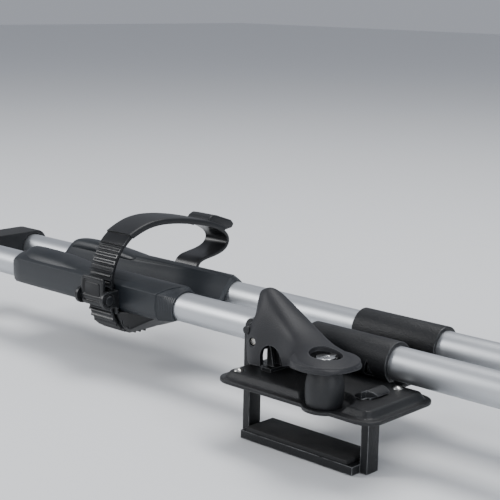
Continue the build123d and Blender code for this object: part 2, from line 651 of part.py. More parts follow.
def anchor_screw_places():
    return [ANCHOR_Z - ANCHOR_PITCH / 2, ANCHOR_Z + ANCHOR_PITCH / 2]


def under_clamp():
    """The moulded belly under the tubes, with a groove that guides the strap."""
    top = TUBE_Z - TUBE_R - RUN_GAP
    low = top - BELLY_DEPTH
    left = STRAP_X - BELLY_LEFT
    right = STRAP_X + BELLY_RIGHT
    flat = STRAP_WIDTH / 2 + BELLY_CHEEK
    profile = [(left, top), (left + BELLY_CHEEK, top - BELLY_DEPTH / 2), (STRAP_X - flat, low),
               (STRAP_X + flat, low), (right - BELLY_SLOPE, top - BELLY_DEPTH / 2), (right, top)]
    belly = side_plate(profile, -BELLY_HALF_Y, BELLY_HALF_Y)
    keel_half = BELLY_HALF_Y - BELLY_CORNER_R
    trim = [(-BELLY_HALF_Y, top), (-BELLY_HALF_Y, top - BELLY_DEPTH + BELLY_CORNER_R),
            (-keel_half, low), (keel_half, low),
            (BELLY_HALF_Y, top - BELLY_DEPTH + BELLY_CORNER_R), (BELLY_HALF_Y, top)]
    belly &= cross_bar(trim, left, right)
    depth = STRAP_T + TOOTH_H + RUN_GAP
    groove = cross_bar([(-BELLY_HALF_Y - CUT_OVER, low - CUT_OVER),
                        (-BELLY_HALF_Y - CUT_OVER, low + BELLY_CORNER_R + depth),
                        (-BELLY_HALF_Y, low + BELLY_CORNER_R + depth), (-keel_half, low + depth),
                        (keel_half, low + depth), (BELLY_HALF_Y, low + BELLY_CORNER_R + depth),
                        (BELLY_HALF_Y + CUT_OVER, low + BELLY_CORNER_R),
                        (BELLY_HALF_Y + CUT_OVER, low - CUT_OVER)],
                       STRAP_X - STRAP_WIDTH / 2 - RUN_GAP, STRAP_X + STRAP_WIDTH / 2 + RUN_GAP)
    belly -= groove
    for x in tray_screw_places():
        belly -= rod_z(low - CUT_OVER, top + CUT_OVER, x, 0, TRAY_SCREW_R + SNUG_GAP)
        belly -= rod_z(low - CUT_OVER, top - TRAY_WALL, x, 0, TRAY_SCREW_HEAD_R + SNUG_GAP)
    return belly


def tray_screws():
    top = TUBE_Z - TUBE_R - RUN_GAP
    seat = top - TRAY_WALL - SNUG_GAP
    screws = []
    for x in tray_screw_places():
        shank = rod_z(seat, TUBE_Z - TUBE_R + SCREW_DEPTH - TROUGH_HALF_W - SNUG_GAP, x, 0, TRAY_SCREW_R)
        screws += [shank + rod_z(seat - TRAY_WALL, seat, x, 0, TRAY_SCREW_HEAD_R)]
    return Compound(children=[solids_of(screw)[0] for screw in screws])


def strap_line():
    """The strap's middle line in Y and Z: tail, buckle, over the rim, and down to the far anchor."""
    low = TUBE_Z - TUBE_R - RUN_GAP - BELLY_DEPTH + STRAP_T / 2 + TOOTH_H
    run_y = strap_run_y()
    anchor_y = TRAY_HALF_W + RUN_GAP + STRAP_T / 2
    points = [(STRAP_X, -TAIL_END, low), (STRAP_X, -BELLY_HALF_Y + TAIL_END, low),
              (STRAP_X, run_y, -PLATE_RISE), (STRAP_X, run_y, BUCKLE_Z + BUCKLE_HEIGHT / 2)]
    points += [(STRAP_X, ARCH_REACH * y_share, ARCH_HEIGHT * z_share)
               for y_share, z_share in STRAP_ARCH_SHARES]
    points += [(STRAP_X, anchor_y, ANCHOR_Z + ANCHOR_RUN), (STRAP_X, anchor_y, ANCHOR_Z - ANCHOR_PITCH)]
    return FilletPolyline(*points, radius=STRAP_BEND_R)


def strap_run_y():
    return -TRAY_HALF_W - BUCKLE_BACK_T - 2 * RUN_GAP - STRAP_T / 2


def band(line, thickness, width):
    """A flat band along a line in a plane across the rail."""
    outline = offset(line, amount=thickness / 2, side=Side.BOTH, closed=True)
    face = make_face(outline.edges())
    return Pos(-width / 2, 0, 0) * extrude(face, amount=width, dir=(1, 0, 0))


def wheel_strap():
    """The strap with its row of teeth on the outside."""
    line = strap_line()
    strap = band(line, STRAP_T, STRAP_WIDTH)
    count = int(line.length * TOOTHED_SHARE / TOOTH_PITCH)
    for number in range(count):
        place = number * TOOTH_PITCH / line.length
        spot = line @ place
        along = line % place
        angle = math.degrees(math.atan2(along.Z, along.Y))
        ridge = Box(STRAP_WIDTH - 2 * STRAP_T, TOOTH_PITCH / 2, STRAP_T / 2 + TOOTH_H)
        ridge = Pos(0, 0, (STRAP_T / 2 + TOOTH_H) / 2) * ridge
        strap += Pos(spot.X, spot.Y, spot.Z) * Rot(angle, 0, 0) * ridge
    for z in anchor_screw_places():
        strap -= rod_y(TRAY_HALF_W, TRAY_HALF_W + 2 * STRAP_T, STRAP_X, z, TRAY_SCREW_R / 2 + SNUG_GAP)
    return strap


def rim_protector():
    """A smooth sleeve over the strap's crown, with a raised finger tab at its far end."""
    y_from, y_to = (ARCH_REACH * share for share in PROTECTOR_SHARES)
    crown = [(STRAP_X, ARCH_REACH * y_share, ARCH_HEIGHT * z_share)
             for y_share, z_share in STRAP_ARCH_SHARES if y_from <= ARCH_REACH * y_share <= y_to]
    crown += [(STRAP_X, ARCH_REACH * TONGUE_SHARES[0], ARCH_HEIGHT * TONGUE_SHARES[1])]
    line = FilletPolyline(*crown, radius=STRAP_BEND_R)
    sleeve = band(line, STRAP_T + 2 * PROTECTOR_T, PROTECTOR_WIDTH)
    tab = [(ARCH_REACH * y_share, ARCH_HEIGHT * z_share) for y_share, z_share in TAB_SHARES]
    sleeve += cross_bar(tab, STRAP_X - STRAP_WIDTH / 2, STRAP_X + STRAP_WIDTH / 2)
    hollow = band(strap_line(), STRAP_T + 2 * SNUG_GAP, STRAP_WIDTH + 2 * SNUG_GAP)
    return (sleeve - hollow).solids().sort_by(SortBy.VOLUME)[-1]


def anchor_screws():
    face = TRAY_HALF_W + RUN_GAP + STRAP_T
    screws = []
    for z in anchor_screw_places():
        shank = rod_y(TRAY_HALF_W - TRAY_WALL, face, STRAP_X, z, TRAY_SCREW_R / 2)
        screws += [shank + rod_y(face + SNUG_GAP, face + SNUG_GAP + STRAP_T / 2, STRAP_X, z, TRAY_SCREW_R)
                   + rod_y(face, face + STRAP_T / 2, STRAP_X, z, TRAY_SCREW_R / 2)]
    return Compound(children=[solids_of(screw)[0] for screw in screws])


def buckle_frame():
    """The buckle's base: a back plate on the tray's near wall and two cheeks beside the strap."""
    z0 = BUCKLE_Z - BUCKLE_HEIGHT / 2
    back_y = -TRAY_HALF_W - RUN_GAP
    half = BUCKLE_WIDTH / 2
    frame = block(STRAP_X - half, STRAP_X + half, back_y - BUCKLE_BACK_T, back_y,
                  z0, z0 + BUCKLE_HEIGHT * CHEEK_SHARE)
    for side in (-1, 1):
        x0, x1 = sorted((STRAP_X + side * half, STRAP_X + side * (half - BUCKLE_CHEEK_T)))
        frame += block(x0, x1, buckle_pin_y(), back_y,
                       BUCKLE_PIN_Z - BUCKLE_BOSS_R, BUCKLE_PIN_Z + BUCKLE_BOSS_R)
        frame += rod_x(x0, x1, buckle_pin_y(), BUCKLE_PIN_Z, BUCKLE_BOSS_R)
    return frame - rod_x(STRAP_X - half - CUT_OVER, STRAP_X + half + CUT_OVER, buckle_pin_y(), BUCKLE_PIN_Z,
                         BUCKLE_PIN_R + PIN_GAP)


def buckle_pin_y():
    return strap_run_y() - STRAP_T / 2 - TOOTH_H - 2 * RUN_GAP - BUCKLE_PIN_R - BUCKLE_HUB_WALL


def buckle_pin():
    half = BUCKLE_WIDTH / 2
    pin = rod_x(STRAP_X - half, STRAP_X + half, buckle_pin_y(), BUCKLE_PIN_Z, BUCKLE_PIN_R)
    for side in (-1, 1):
        face = STRAP_X + side * (half + SNUG_GAP)
        pin += rod_x(face, face + side * PIN_HEAD_T, buckle_pin_y(), BUCKLE_PIN_Z, BUCKLE_PIN_R * 2)
        pin += rod_x(STRAP_X, face, buckle_pin_y(), BUCKLE_PIN_Z, BUCKLE_PIN_R)
    return pin


def buckle_lever():
    """The finger pad of the ratchet: a dished plate on a hub round the pin."""
    half = BUCKLE_WIDTH / 2 - BUCKLE_CHEEK_T - RUN_GAP
    z0 = BUCKLE_PIN_Z
    z1 = BUCKLE_Z + BUCKLE_HEIGHT / 2
    hub_r = BUCKLE_PIN_R + BUCKLE_HUB_WALL
    outer_y = buckle_pin_y() - hub_r
    pad = block(STRAP_X - half, STRAP_X + half, outer_y, outer_y + BUCKLE_PAD_T, z0, z1)
    pad = fillet(pad.edges().filter_by(Axis.Y).sort_by(Axis.Z)[-2:], BUCKLE_PAD_RIM)
    pad += rod_x(STRAP_X - half, STRAP_X + half, buckle_pin_y(), BUCKLE_PIN_Z, hub_r)
    dish = block(STRAP_X - half + BUCKLE_PAD_RIM, STRAP_X + half - BUCKLE_PAD_RIM, outer_y - CUT_OVER,
                 outer_y + BUCKLE_PAD_DISH, z0 + BUCKLE_PAD_RIM, z1 - BUCKLE_PAD_RIM)
    pad -= fillet(dish.edges().filter_by(Axis.Y), BUCKLE_PAD_RIM / 2)
    return pad - rod_x(STRAP_X - half - CUT_OVER, STRAP_X + half + CUT_OVER, buckle_pin_y(), BUCKLE_PIN_Z,
                       BUCKLE_PIN_R + PIN_GAP)


def arm_base():
    """The arm's foot: a moulded block on both tubes with two ears."""
    half_x = ARM_BASE_LENGTH / 2
    half_y = TUBE_PITCH / 2 + TUBE_R + ARM_BASE_T
    z0 = TUBE_Z - TUBE_R - ARM_BASE_T
    z1 = TUBE_Z + TUBE_R + ARM_BASE_T
    base = block(ARM_X - half_x, ARM_X + half_x, -half_y, half_y, z0, z1)
    base = fillet(base.edges().filter_by(Axis.X), TUBE_R)
    for y in (NEAR_Y, FAR_Y):
        base -= rod_x(ARM_X - half_x - CUT_OVER, ARM_X + half_x + CUT_OVER, y, TUBE_Z, TUBE_R + SNUG_GAP)
    ear_in = ARM_R + RUN_GAP
    for side in (-1, 1):
        y0, y1 = sorted((side * ear_in, side * (ear_in + ARM_EAR_T)))
        ear = rod_y(y0, y1, ARM_X, arm_pivot_z(), ARM_EAR_R)
        foot = [(ARM_X - half_x / 2, z1 - ARM_BASE_T), (ARM_X + half_x / 2, z1 - ARM_BASE_T),
                (ARM_X + ARM_EAR_R, arm_pivot_z()), (ARM_X - ARM_EAR_R, arm_pivot_z())]
        base += ear + side_plate(foot, y0, y1)
    return base - rod_y(-half_y, half_y, ARM_X, arm_pivot_z(), ARM_BOLT_R + PIN_GAP)


def arm_pivot_z():
    return TUBE_Z + TUBE_R + ARM_PIVOT_RISE


def arm_bolt():
    """The fold bolt with its head and nut outside the ears."""
    half = ARM_R + RUN_GAP + ARM_EAR_T
    bolt = rod_y(-half, half, ARM_X, arm_pivot_z(), ARM_BOLT_R)
    for side in (-1, 1):
        y0, y1 = sorted((side * half, side * (half + ARM_BOLT_R)))
        hexagon = extrude(RegularPolygon(ARM_BOLT_R * 2, HEX_SIDES), y1 - y0)
        bolt += Pos(ARM_X, y1, arm_pivot_z()) * Rot(90, 0, 0) * hexagon
    return bolt


def arm_tube():
    """The round arm: a tube above and a solid knuckle round the fold bolt."""
    z0 = arm_pivot_z()
    z1 = z0 + ARM_LENGTH
    knuckle_y = ARM_R
    tube = rod_z(z0, z1, ARM_X, 0, ARM_R)
    tube += rod_y(-knuckle_y, knuckle_y, ARM_X, z0, ARM_EAR_R)
    tube -= rod_z(z0 + 2 * ARM_EAR_R, z1 + CUT_OVER, ARM_X, 0, ARM_R - ARM_WALL)
    return tube - rod_y(-knuckle_y - CUT_OVER, knuckle_y + CUT_OVER, ARM_X, z0, ARM_BOLT_R + PIN_GAP)


def claw_floor_z():
    return arm_pivot_z() + ARM_LENGTH + SNUG_GAP


def claw_mouth_z():
    return claw_floor_z() + CLAW_BLOCK_H


def claw_screw_z():
    return claw_floor_z() + CLAW_BLOCK_H / 2


def claw_finger(inner_y, side):
    """A finger with a rounded tip that stands up from the claw's block."""
    half_x = CLAW_WIDTH / 2
    z0 = claw_mouth_z() + (RUN_GAP if side > 0 else -RUN_GAP)
    z1 = claw_mouth_z() + CLAW_REACH
    y0, y1 = sorted((inner_y, inner_y + side * CLAW_TIP_T))
    finger = block(ARM_X - half_x, ARM_X + half_x, y0, y1, z0, z1)
    return fillet(finger.edges().filter_by(Axis.Y).sort_by(Axis.Z)[-2:], half_x / 2)


def claw_body():
    """The fixed half of the claw: a block on the arm, a socket, one finger and a slot for the jaw."""
    half_x = CLAW_WIDTH / 2
    half_y = CLAW_MOUTH / 2 + CLAW_TIP_T
    body = block(ARM_X - half_x, ARM_X + half_x, -half_y, half_y, claw_floor_z(), claw_mouth_z())
    body = fillet(body.edges().filter_by(Axis.X).sort_by(Axis.Z)[:2], TUBE_R)
    body += claw_finger(-CLAW_MOUTH / 2, -1)
    socket = rod_z(claw_floor_z() - CLAW_SOCKET, claw_floor_z(), ARM_X, 0, ARM_R + CLAW_SOCKET_WALL)
    socket -= rod_z(claw_floor_z() - CLAW_SOCKET - CUT_OVER, claw_floor_z() + CUT_OVER, ARM_X, 0,
                    ARM_R + SNUG_GAP)
    body += socket
    key = CLAW_KEY / 2 + RUN_GAP
    slot_start = CLAW_MOUTH / 2 - JAW_TRAVEL - 2 * RUN_GAP
    body -= block(ARM_X - key, ARM_X + key, slot_start, half_y + CUT_OVER, claw_screw_z() - key,
                  claw_mouth_z() + CUT_OVER)
    body -= rod_y(-half_y - CUT_OVER, half_y, ARM_X, claw_screw_z(), CLAW_SCREW_R + RUN_GAP)
    return body


def claw_jaw():
    """The moving finger, on a key that slides in the claw's slot."""
    inner = CLAW_MOUTH / 2
    jaw = claw_finger(inner, 1)
    key = CLAW_KEY / 2
    jaw += block(ARM_X - key, ARM_X + key, inner, inner + CLAW_TIP_T, claw_screw_z() - key,
                 claw_mouth_z() + CUT_OVER)
    return jaw - rod_y(inner - CUT_OVER, inner + CLAW_TIP_T + CUT_OVER, ARM_X, claw_screw_z(),
                       CLAW_SCREW_R + PIN_GAP)


def finger_pad(inner_y, side):
    """A rubber pad on a finger's inner face."""
    half_x = CLAW_WIDTH / 2 - CLAW_PAD_T
    y0, y1 = sorted((inner_y - side * SNUG_GAP, inner_y - side * CLAW_PAD_T))
    z0 = claw_mouth_z() + CLAW_PAD_T
    z1 = claw_mouth_z() + CLAW_REACH - CLAW_PAD_T
    pad = block(ARM_X - half_x, ARM_X + half_x, y0, y1, z0, z1)
    return fillet(pad.edges().filter_by(Axis.Y), CLAW_PAD_T)


def clamp_screw():
    """The screw that draws the jaw in: it turns with the knob."""
    start = -CLAW_MOUTH / 2 - CLAW_TIP_T - KNOB_H / 2
    end = CLAW_MOUTH / 2 + CLAW_TIP_T - RUN_GAP
    return rod_y(start, end, ARM_X, claw_screw_z(), CLAW_SCREW_R)


def clamp_knob():
    """The lobed hand knob."""
    face = -CLAW_MOUTH / 2 - CLAW_TIP_T - RUN_GAP
    knob = rod_y(face - KNOB_H, face, ARM_X, claw_screw_z(), KNOB_R)
    for number in range(KNOB_LOBES):
        angle = 2 * math.pi * number / KNOB_LOBES
        x = ARM_X + (KNOB_R + KNOB_LOBE_R / 2) * math.cos(angle)
        z = claw_screw_z() + (KNOB_R + KNOB_LOBE_R / 2) * math.sin(angle)
        knob -= rod_y(face - KNOB_H - CUT_OVER, face + CUT_OVER, x, z, KNOB_LOBE_R)
    knob -= rod_y(face - KNOB_H / 2, face + CUT_OVER, ARM_X, claw_screw_z(), CLAW_SCREW_R + SNUG_GAP)
    return knob - rod_y(face - KNOB_H - CUT_OVER, face - KNOB_H + KNOB_CORE_DEPTH, ARM_X, claw_screw_z(),
                        KNOB_CORE_R + PIN_GAP)


def knob_core():
    """The small key core in the middle of the knob."""
    face = -CLAW_MOUTH / 2 - CLAW_TIP_T - RUN_GAP - KNOB_H
    core = rod_y(face - RUN_GAP, face + KNOB_CORE_DEPTH - SNUG_GAP, ARM_X, claw_screw_z(), KNOB_CORE_R)
    half = KEY_SLOT_W / 2
    return core - block(ARM_X - half, ARM_X + half, face - CUT_OVER, face + KEY_SLOT_DEPTH,
                        claw_screw_z() - KEY_SLOT_L / 2, claw_screw_z() + KEY_SLOT_L / 2)


def foot_parts():
    return {"foot_plate": foot_plate(), "tube_saddle": tube_saddle(), "saddle_screws": saddle_screws(),
            "bar_pad": bar_pad(), "pad_rivets": pad_rivets(),
            "clamp_hook": clamp_hook(), "hook_pad": hook_pad(),
            "lever_bracket": lever_bracket(), "lever_pin": lever_pin(), "draw_pin": draw_pin(),
            "cam_lever": cam_lever(), "lock_post": lock_post(), "lock_core": lock_core()}


def holder_parts():
    return {"wheel_tray": wheel_tray(), "under_clamp": under_clamp(), "tray_screws": tray_screws(),
            "wheel_strap": wheel_strap(), "rim_protector": rim_protector(), "anchor_screws": anchor_screws(),
            "buckle_frame": buckle_frame(), "buckle_pin": buckle_pin(), "buckle_lever": buckle_lever()}


def arm_parts():
    return {"arm_base": arm_base(), "arm_bolt": arm_bolt(), "arm_tube": arm_tube(),
            "claw_body": claw_body(), "claw_pad": finger_pad(-CLAW_MOUTH / 2, -1), "claw_jaw": claw_jaw(),
            "jaw_pad": finger_pad(CLAW_MOUTH / 2, 1), "clamp_screw": clamp_screw(),
            "clamp_knob": clamp_knob(), "knob_core": knob_core()}


def main():
    os.makedirs("parts", exist_ok=True)
    write("near_rail_tube", rail_tube(NEAR_Y))
    write("far_rail_tube", rail_tube(FAR_Y))
    write("rear_end_cap", end_cap(RAIL_START, -1))
    write("front_end_cap", end_cap(RAIL_END, 1))
    for name, shape in foot_parts().items():
        write("rear_" + name, shape)
        write("front_" + name, Pos(FOOT_SPREAD, 0, 0) * shape)
    middle = Plane.YZ.offset(FOOT_SPREAD / 2)
    for name, shape in holder_parts().items():
        write("rear_" + name, shape)
        write("front_" + name, mirror(shape, middle))
    for name, shape in arm_parts().items():
        write(name, mirror(shape, Plane.XZ))
    print("hook pivot", HOOK_PIVOT_X, HOOK_PIVOT_Z, "swing", hook_swing())
    print("lever hinge", -HINGE_X, HINGE_Z, "buckle pin", buckle_pin_y(), BUCKLE_PIN_Z)
    print("arm pivot", ARM_X, arm_pivot_z(), "claw screw", claw_screw_z())


main()
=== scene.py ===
"""The looks of the roof mounted bike carrier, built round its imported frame. Lengths are in metres."""
import json
import math

import bpy
from mathutils import Matrix, Vector


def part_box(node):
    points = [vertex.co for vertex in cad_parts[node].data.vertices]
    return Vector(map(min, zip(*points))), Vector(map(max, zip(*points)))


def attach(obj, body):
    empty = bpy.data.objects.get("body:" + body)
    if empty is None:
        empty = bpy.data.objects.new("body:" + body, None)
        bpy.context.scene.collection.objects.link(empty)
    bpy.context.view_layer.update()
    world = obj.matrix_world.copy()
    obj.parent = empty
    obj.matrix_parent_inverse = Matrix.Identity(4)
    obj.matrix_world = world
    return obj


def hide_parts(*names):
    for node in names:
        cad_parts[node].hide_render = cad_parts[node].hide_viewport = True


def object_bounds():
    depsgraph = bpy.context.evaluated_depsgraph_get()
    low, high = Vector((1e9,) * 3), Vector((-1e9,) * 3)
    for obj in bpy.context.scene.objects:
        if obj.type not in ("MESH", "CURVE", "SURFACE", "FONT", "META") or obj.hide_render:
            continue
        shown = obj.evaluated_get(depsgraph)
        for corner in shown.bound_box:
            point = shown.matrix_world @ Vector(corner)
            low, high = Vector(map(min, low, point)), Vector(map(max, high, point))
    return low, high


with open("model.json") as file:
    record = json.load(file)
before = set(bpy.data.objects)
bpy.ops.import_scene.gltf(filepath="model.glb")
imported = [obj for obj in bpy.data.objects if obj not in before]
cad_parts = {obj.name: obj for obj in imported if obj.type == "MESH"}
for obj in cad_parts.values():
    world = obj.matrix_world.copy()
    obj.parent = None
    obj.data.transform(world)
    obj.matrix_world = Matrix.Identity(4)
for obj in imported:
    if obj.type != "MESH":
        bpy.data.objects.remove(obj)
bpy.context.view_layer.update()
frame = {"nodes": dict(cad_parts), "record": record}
MM = 0.001

# Where the photograph was taken from
CAMERA_PLACE = Vector((0.4350, -0.5859, 0.2250))
CAMERA_RIGHT = Vector((0.73104, 0.68205, 0.01966))
CAMERA_UP = Vector((-0.15206, 0.13476, 0.97914))
CAMERA_LENS = 89.46
CAMERA_SENSOR = 36.0
CAMERA_SHIFT_X = 0.0122
CAMERA_SHIFT_Y = -0.0056
CLIP_NEAR = 0.05
CLIP_FAR = 30.0

# Colours, linear
SILVER = (0.60, 0.62, 0.645)
ZINC = (0.62, 0.61, 0.58)
NICKEL = (0.70, 0.70, 0.69)
BARE_EDGE = (0.42, 0.43, 0.44)
COAT_BLACK = (0.0055, 0.0060, 0.0070)
MOULD_BLACK = (0.0065, 0.0072, 0.0086)
LEVER_GREY = (0.0088, 0.0092, 0.0114)
TRAY_GREY = (0.0085, 0.0108, 0.0138)
STRAP_BLACK = (0.0042, 0.0046, 0.0054)
RUBBER_BLACK = (0.0060, 0.0063, 0.0070)
DUST = (0.16, 0.155, 0.145)
# Paler edge colours for moulded parts: rubbed wear, and a painted highlight along the edges
WEAR_HIGHLIGHT_DARK = (0.05, 0.052, 0.056)
WEAR_HIGHLIGHT_LEVER = (0.075, 0.078, 0.083)
WEAR_HIGHLIGHT_TRAY = (0.07, 0.078, 0.088)
WEAR_HIGHLIGHT_SLEEVE = (0.045, 0.047, 0.05)
WEAR_HIGHLIGHT_BUCKLE = (0.06, 0.062, 0.066)
WEAR_HIGHLIGHT_RUBBER = (0.03, 0.03, 0.031)
WEAR_HIGHLIGHT_KNOB = (0.05, 0.052, 0.055)

# Gloss
DUSTY_ROUGHNESS = 0.9
BARE_ROUGHNESS = 0.34
SHEEN_SPREAD = 0.08
PLASTIC_SHINE = 0.42
COAT_SHINE = 0.34

FOOT_BODIES = ("rear", "front")
FOOT_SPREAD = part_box("front_lock_post")[0].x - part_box("rear_lock_post")[0].x


# Shader groups

def new_group(name, inputs, outputs):
    """An empty shader group: inputs are (name, kind, default), outputs are (name, kind)."""
    group = bpy.data.node_groups.new(name, "ShaderNodeTree")
    for label, kind, default in inputs:
        socket = group.interface.new_socket(label, in_out="INPUT", socket_type=kind)
        socket.default_value = default
    for label, kind in outputs:
        group.interface.new_socket(label, in_out="OUTPUT", socket_type=kind)
    start = group.nodes.new("NodeGroupInput")
    end = group.nodes.new("NodeGroupOutput")
    return group, start, end


def add_node(tree, kind, **values):
    node = tree.nodes.new(kind)
    for name, value in values.items():
        setattr(node, name, value)
    return node


def plug(tree, socket, value):
    """Links a socket to another node's output, or sets it to a number or a colour."""
    if isinstance(value, bpy.types.NodeSocket):
        tree.links.new(value, socket)
    else:
        socket.default_value = (*value, 1) if isinstance(value, tuple) else value


def noise(tree, scale, detail, roughness, vector):
    texture = add_node(tree, "ShaderNodeTexNoise")
    for name, value in (("Scale", scale), ("Detail", detail), ("Roughness", roughness), ("Vector", vector)):
        plug(tree, texture.inputs[name], value)
    return texture.outputs["Fac"]


def ramp(tree, factor, low, high):
    """A factor stretched so that low becomes 0 and high becomes 1."""
    node = add_node(tree, "ShaderNodeMapRange", clamp=True)
    node.inputs["From Min"].default_value = low
    node.inputs["From Max"].default_value = high
    tree.links.new(factor, node.inputs["Value"])
    return node.outputs["Result"]


def arithmetic(tree, operation, first, second):
    node = add_node(tree, "ShaderNodeMath", operation=operation)
    plug(tree, node.inputs[0], first)
    plug(tree, node.inputs[1], second)
    return node.outputs[0]


def blend_colour(tree, factor, first, second):
    node = add_node(tree, "ShaderNodeMix", data_type="RGBA")
    for number, value in ((0, factor), (6, first), (7, second)):
        plug(tree, node.inputs[number], value)
    return node.outputs[2]


def blend_value(tree, factor, first, second):
    node = add_node(tree, "ShaderNodeMix", data_type="FLOAT")
    for number, value in ((0, factor), (2, first), (3, second)):
        plug(tree, node.inputs[number], value)
    return node.outputs[0]


def make_edge_wear_and_highlight():
    """How far a convex edge is paled: rubbed wear, and on moulded parts also a painted highlight. 1 on the
    edge, 0 on the flats.
    """
    group, start, end = new_group(
        "edge_wear_and_highlight",
        [("Width", "NodeSocketFloat", 0.0012), ("Amount", "NodeSocketFloat", 1.0),
         ("Patch Scale", "NodeSocketFloat", 60.0)],
        [("WearHighlight", "NodeSocketFloat")])
    bevel = add_node(group, "ShaderNodeBevel", samples=6)
    shape = add_node(group, "ShaderNodeNewGeometry")
    place = add_node(group, "ShaderNodeTexCoord")
    group.links.new(start.outputs["Width"], bevel.inputs["Radius"])
    facing = add_node(group, "ShaderNodeVectorMath", operation="DOT_PRODUCT")
    group.links.new(bevel.outputs["Normal"], facing.inputs[0])
    group.links.new(shape.outputs["Normal"], facing.inputs[1])
    edge = ramp(group, facing.outputs["Value"], 0.985, 0.86)
    cloud = noise(group, start.outputs["Patch Scale"], 5.0, 0.65, place.outputs["Object"])
    patches = ramp(group, cloud, 0.36, 0.62)
    # The edge in patches: the mask for rubbed wear and for the painted highlight
    rubbed = arithmetic(group, "MULTIPLY", edge, patches)
    wear_and_highlight = arithmetic(group, "MULTIPLY", rubbed, start.outputs["Amount"])
    group.links.new(wear_and_highlight, end.inputs["WearHighlight"])
    return group


def make_mould_grain():
    """The fine spark texture of moulded parts and powder coat, as a height, with a slow mottle."""
    group, start, end = new_group(
        "mould_grain",
        [("Grain Scale", "NodeSocketFloat", 1800.0), ("Mottle Scale", "NodeSocketFloat", 25.0)],
        [("Height", "NodeSocketFloat"), ("Mottle", "NodeSocketFloat"), ("Speck", "NodeSocketFloat")])
    place = add_node(group, "ShaderNodeTexCoord")
    fine = noise(group, start.outputs["Grain Scale"], 3.0, 0.6, place.outputs["Object"])
    slow = noise(group, start.outputs["Mottle Scale"], 4.0, 0.55, place.outputs["Object"])
    cells = add_node(group, "ShaderNodeTexVoronoi", feature="F1")
    group.links.new(start.outputs["Grain Scale"], cells.inputs["Scale"])
    group.links.new(place.outputs["Object"], cells.inputs["Vector"])
    bumps = arithmetic(group, "MULTIPLY", cells.outputs["Distance"], 0.8)
    group.links.new(arithmetic(group, "ADD", fine, bumps), end.inputs["Height"])
    group.links.new(ramp(group, slow, 0.3, 0.7), end.inputs["Mottle"])
    group.links.new(ramp(group, fine, 0.58, 0.74), end.inputs["Speck"])
    return group


def make_road_dust():
    """Dust that lies on faces that look up: 0 on walls, 1 on flat tops in patches."""
    group, start, end = new_group(
        "road_dust", [("Amount", "NodeSocketFloat", 0.3), ("Patch Scale", "NodeSocketFloat", 45.0)],
        [("Dust", "NodeSocketFloat")])
    shape = add_node(group, "ShaderNodeNewGeometry")
    place = add_node(group, "ShaderNodeTexCoord")
    split = add_node(group, "ShaderNodeSeparateXYZ")
    group.links.new(shape.outputs["Normal"], split.inputs["Vector"])
    upward = ramp(group, split.outputs["Z"], 0.55, 1.0)
    cloud = noise(group, start.outputs["Patch Scale"], 6.0, 0.7, place.outputs["Object"])
    patches = ramp(group, cloud, 0.35, 0.75)
    lying = arithmetic(group, "MULTIPLY", upward, patches)
    group.links.new(arithmetic(group, "MULTIPLY", lying, start.outputs["Amount"]), end.inputs["Dust"])
    return group


def make_drawn_lines():
    """The fine lines that drawing and brushing leave along X, and a faint cloud."""
    group, start, end = new_group(
        "drawn_lines", [("Line Scale", "NodeSocketFloat", 900.0), ("Stretch", "NodeSocketFloat", 0.02)],
        [("Lines", "NodeSocketFloat"), ("Cloud", "NodeSocketFloat")])
    place = add_node(group, "ShaderNodeTexCoord")
    joined = add_node(group, "ShaderNodeCombineXYZ")
    joined.inputs["Y"].default_value = 1.0
    joined.inputs["Z"].default_value = 1.0
    group.links.new(start.outputs["Stretch"], joined.inputs["X"])
    stretched = add_node(group, "ShaderNodeVectorMath", operation="MULTIPLY")
    group.links.new(place.outputs["Object"], stretched.inputs[0])
    group.links.new(joined.outputs["Vector"], stretched.inputs[1])
    lines = noise(group, start.outputs["Line Scale"], 4.0, 0.6, stretched.outputs["Vector"])
    group.links.new(lines, end.inputs["Lines"])
    group.links.new(noise(group, 14.0, 3.0, 0.5, place.outputs["Object"]), end.inputs["Cloud"])
    return group


EDGE_WEAR_AND_HIGHLIGHT = make_edge_wear_and_highlight()
MOULD_GRAIN = make_mould_grain()
ROAD_DUST = make_road_dust()
DRAWN_LINES = make_drawn_lines()


# Materials

def use_group(tree, group, **values):
    node = add_node(tree, "ShaderNodeGroup", node_tree=group)
    for name, value in values.items():
        node.inputs[name.replace("_", " ")].default_value = value
    return node


def new_material(name, colour):
    material = bpy.data.materials.new(name)
    material.use_nodes = True
    tree = material.node_tree
    shader = tree.nodes["Principled BSDF"]
    material.diffuse_color = (*colour, 1)
    return material, tree, shader


def bump(tree, shader, height, distance, strength):
    node = add_node(tree, "ShaderNodeBump")
    node.inputs["Distance"].default_value = distance
    node.inputs["Strength"].default_value = strength
    tree.links.new(height, node.inputs["Height"])
    tree.links.new(node.outputs["Normal"], shader.inputs["Normal"])


def times(colour, factor):
    return tuple(channel * factor for channel in colour)


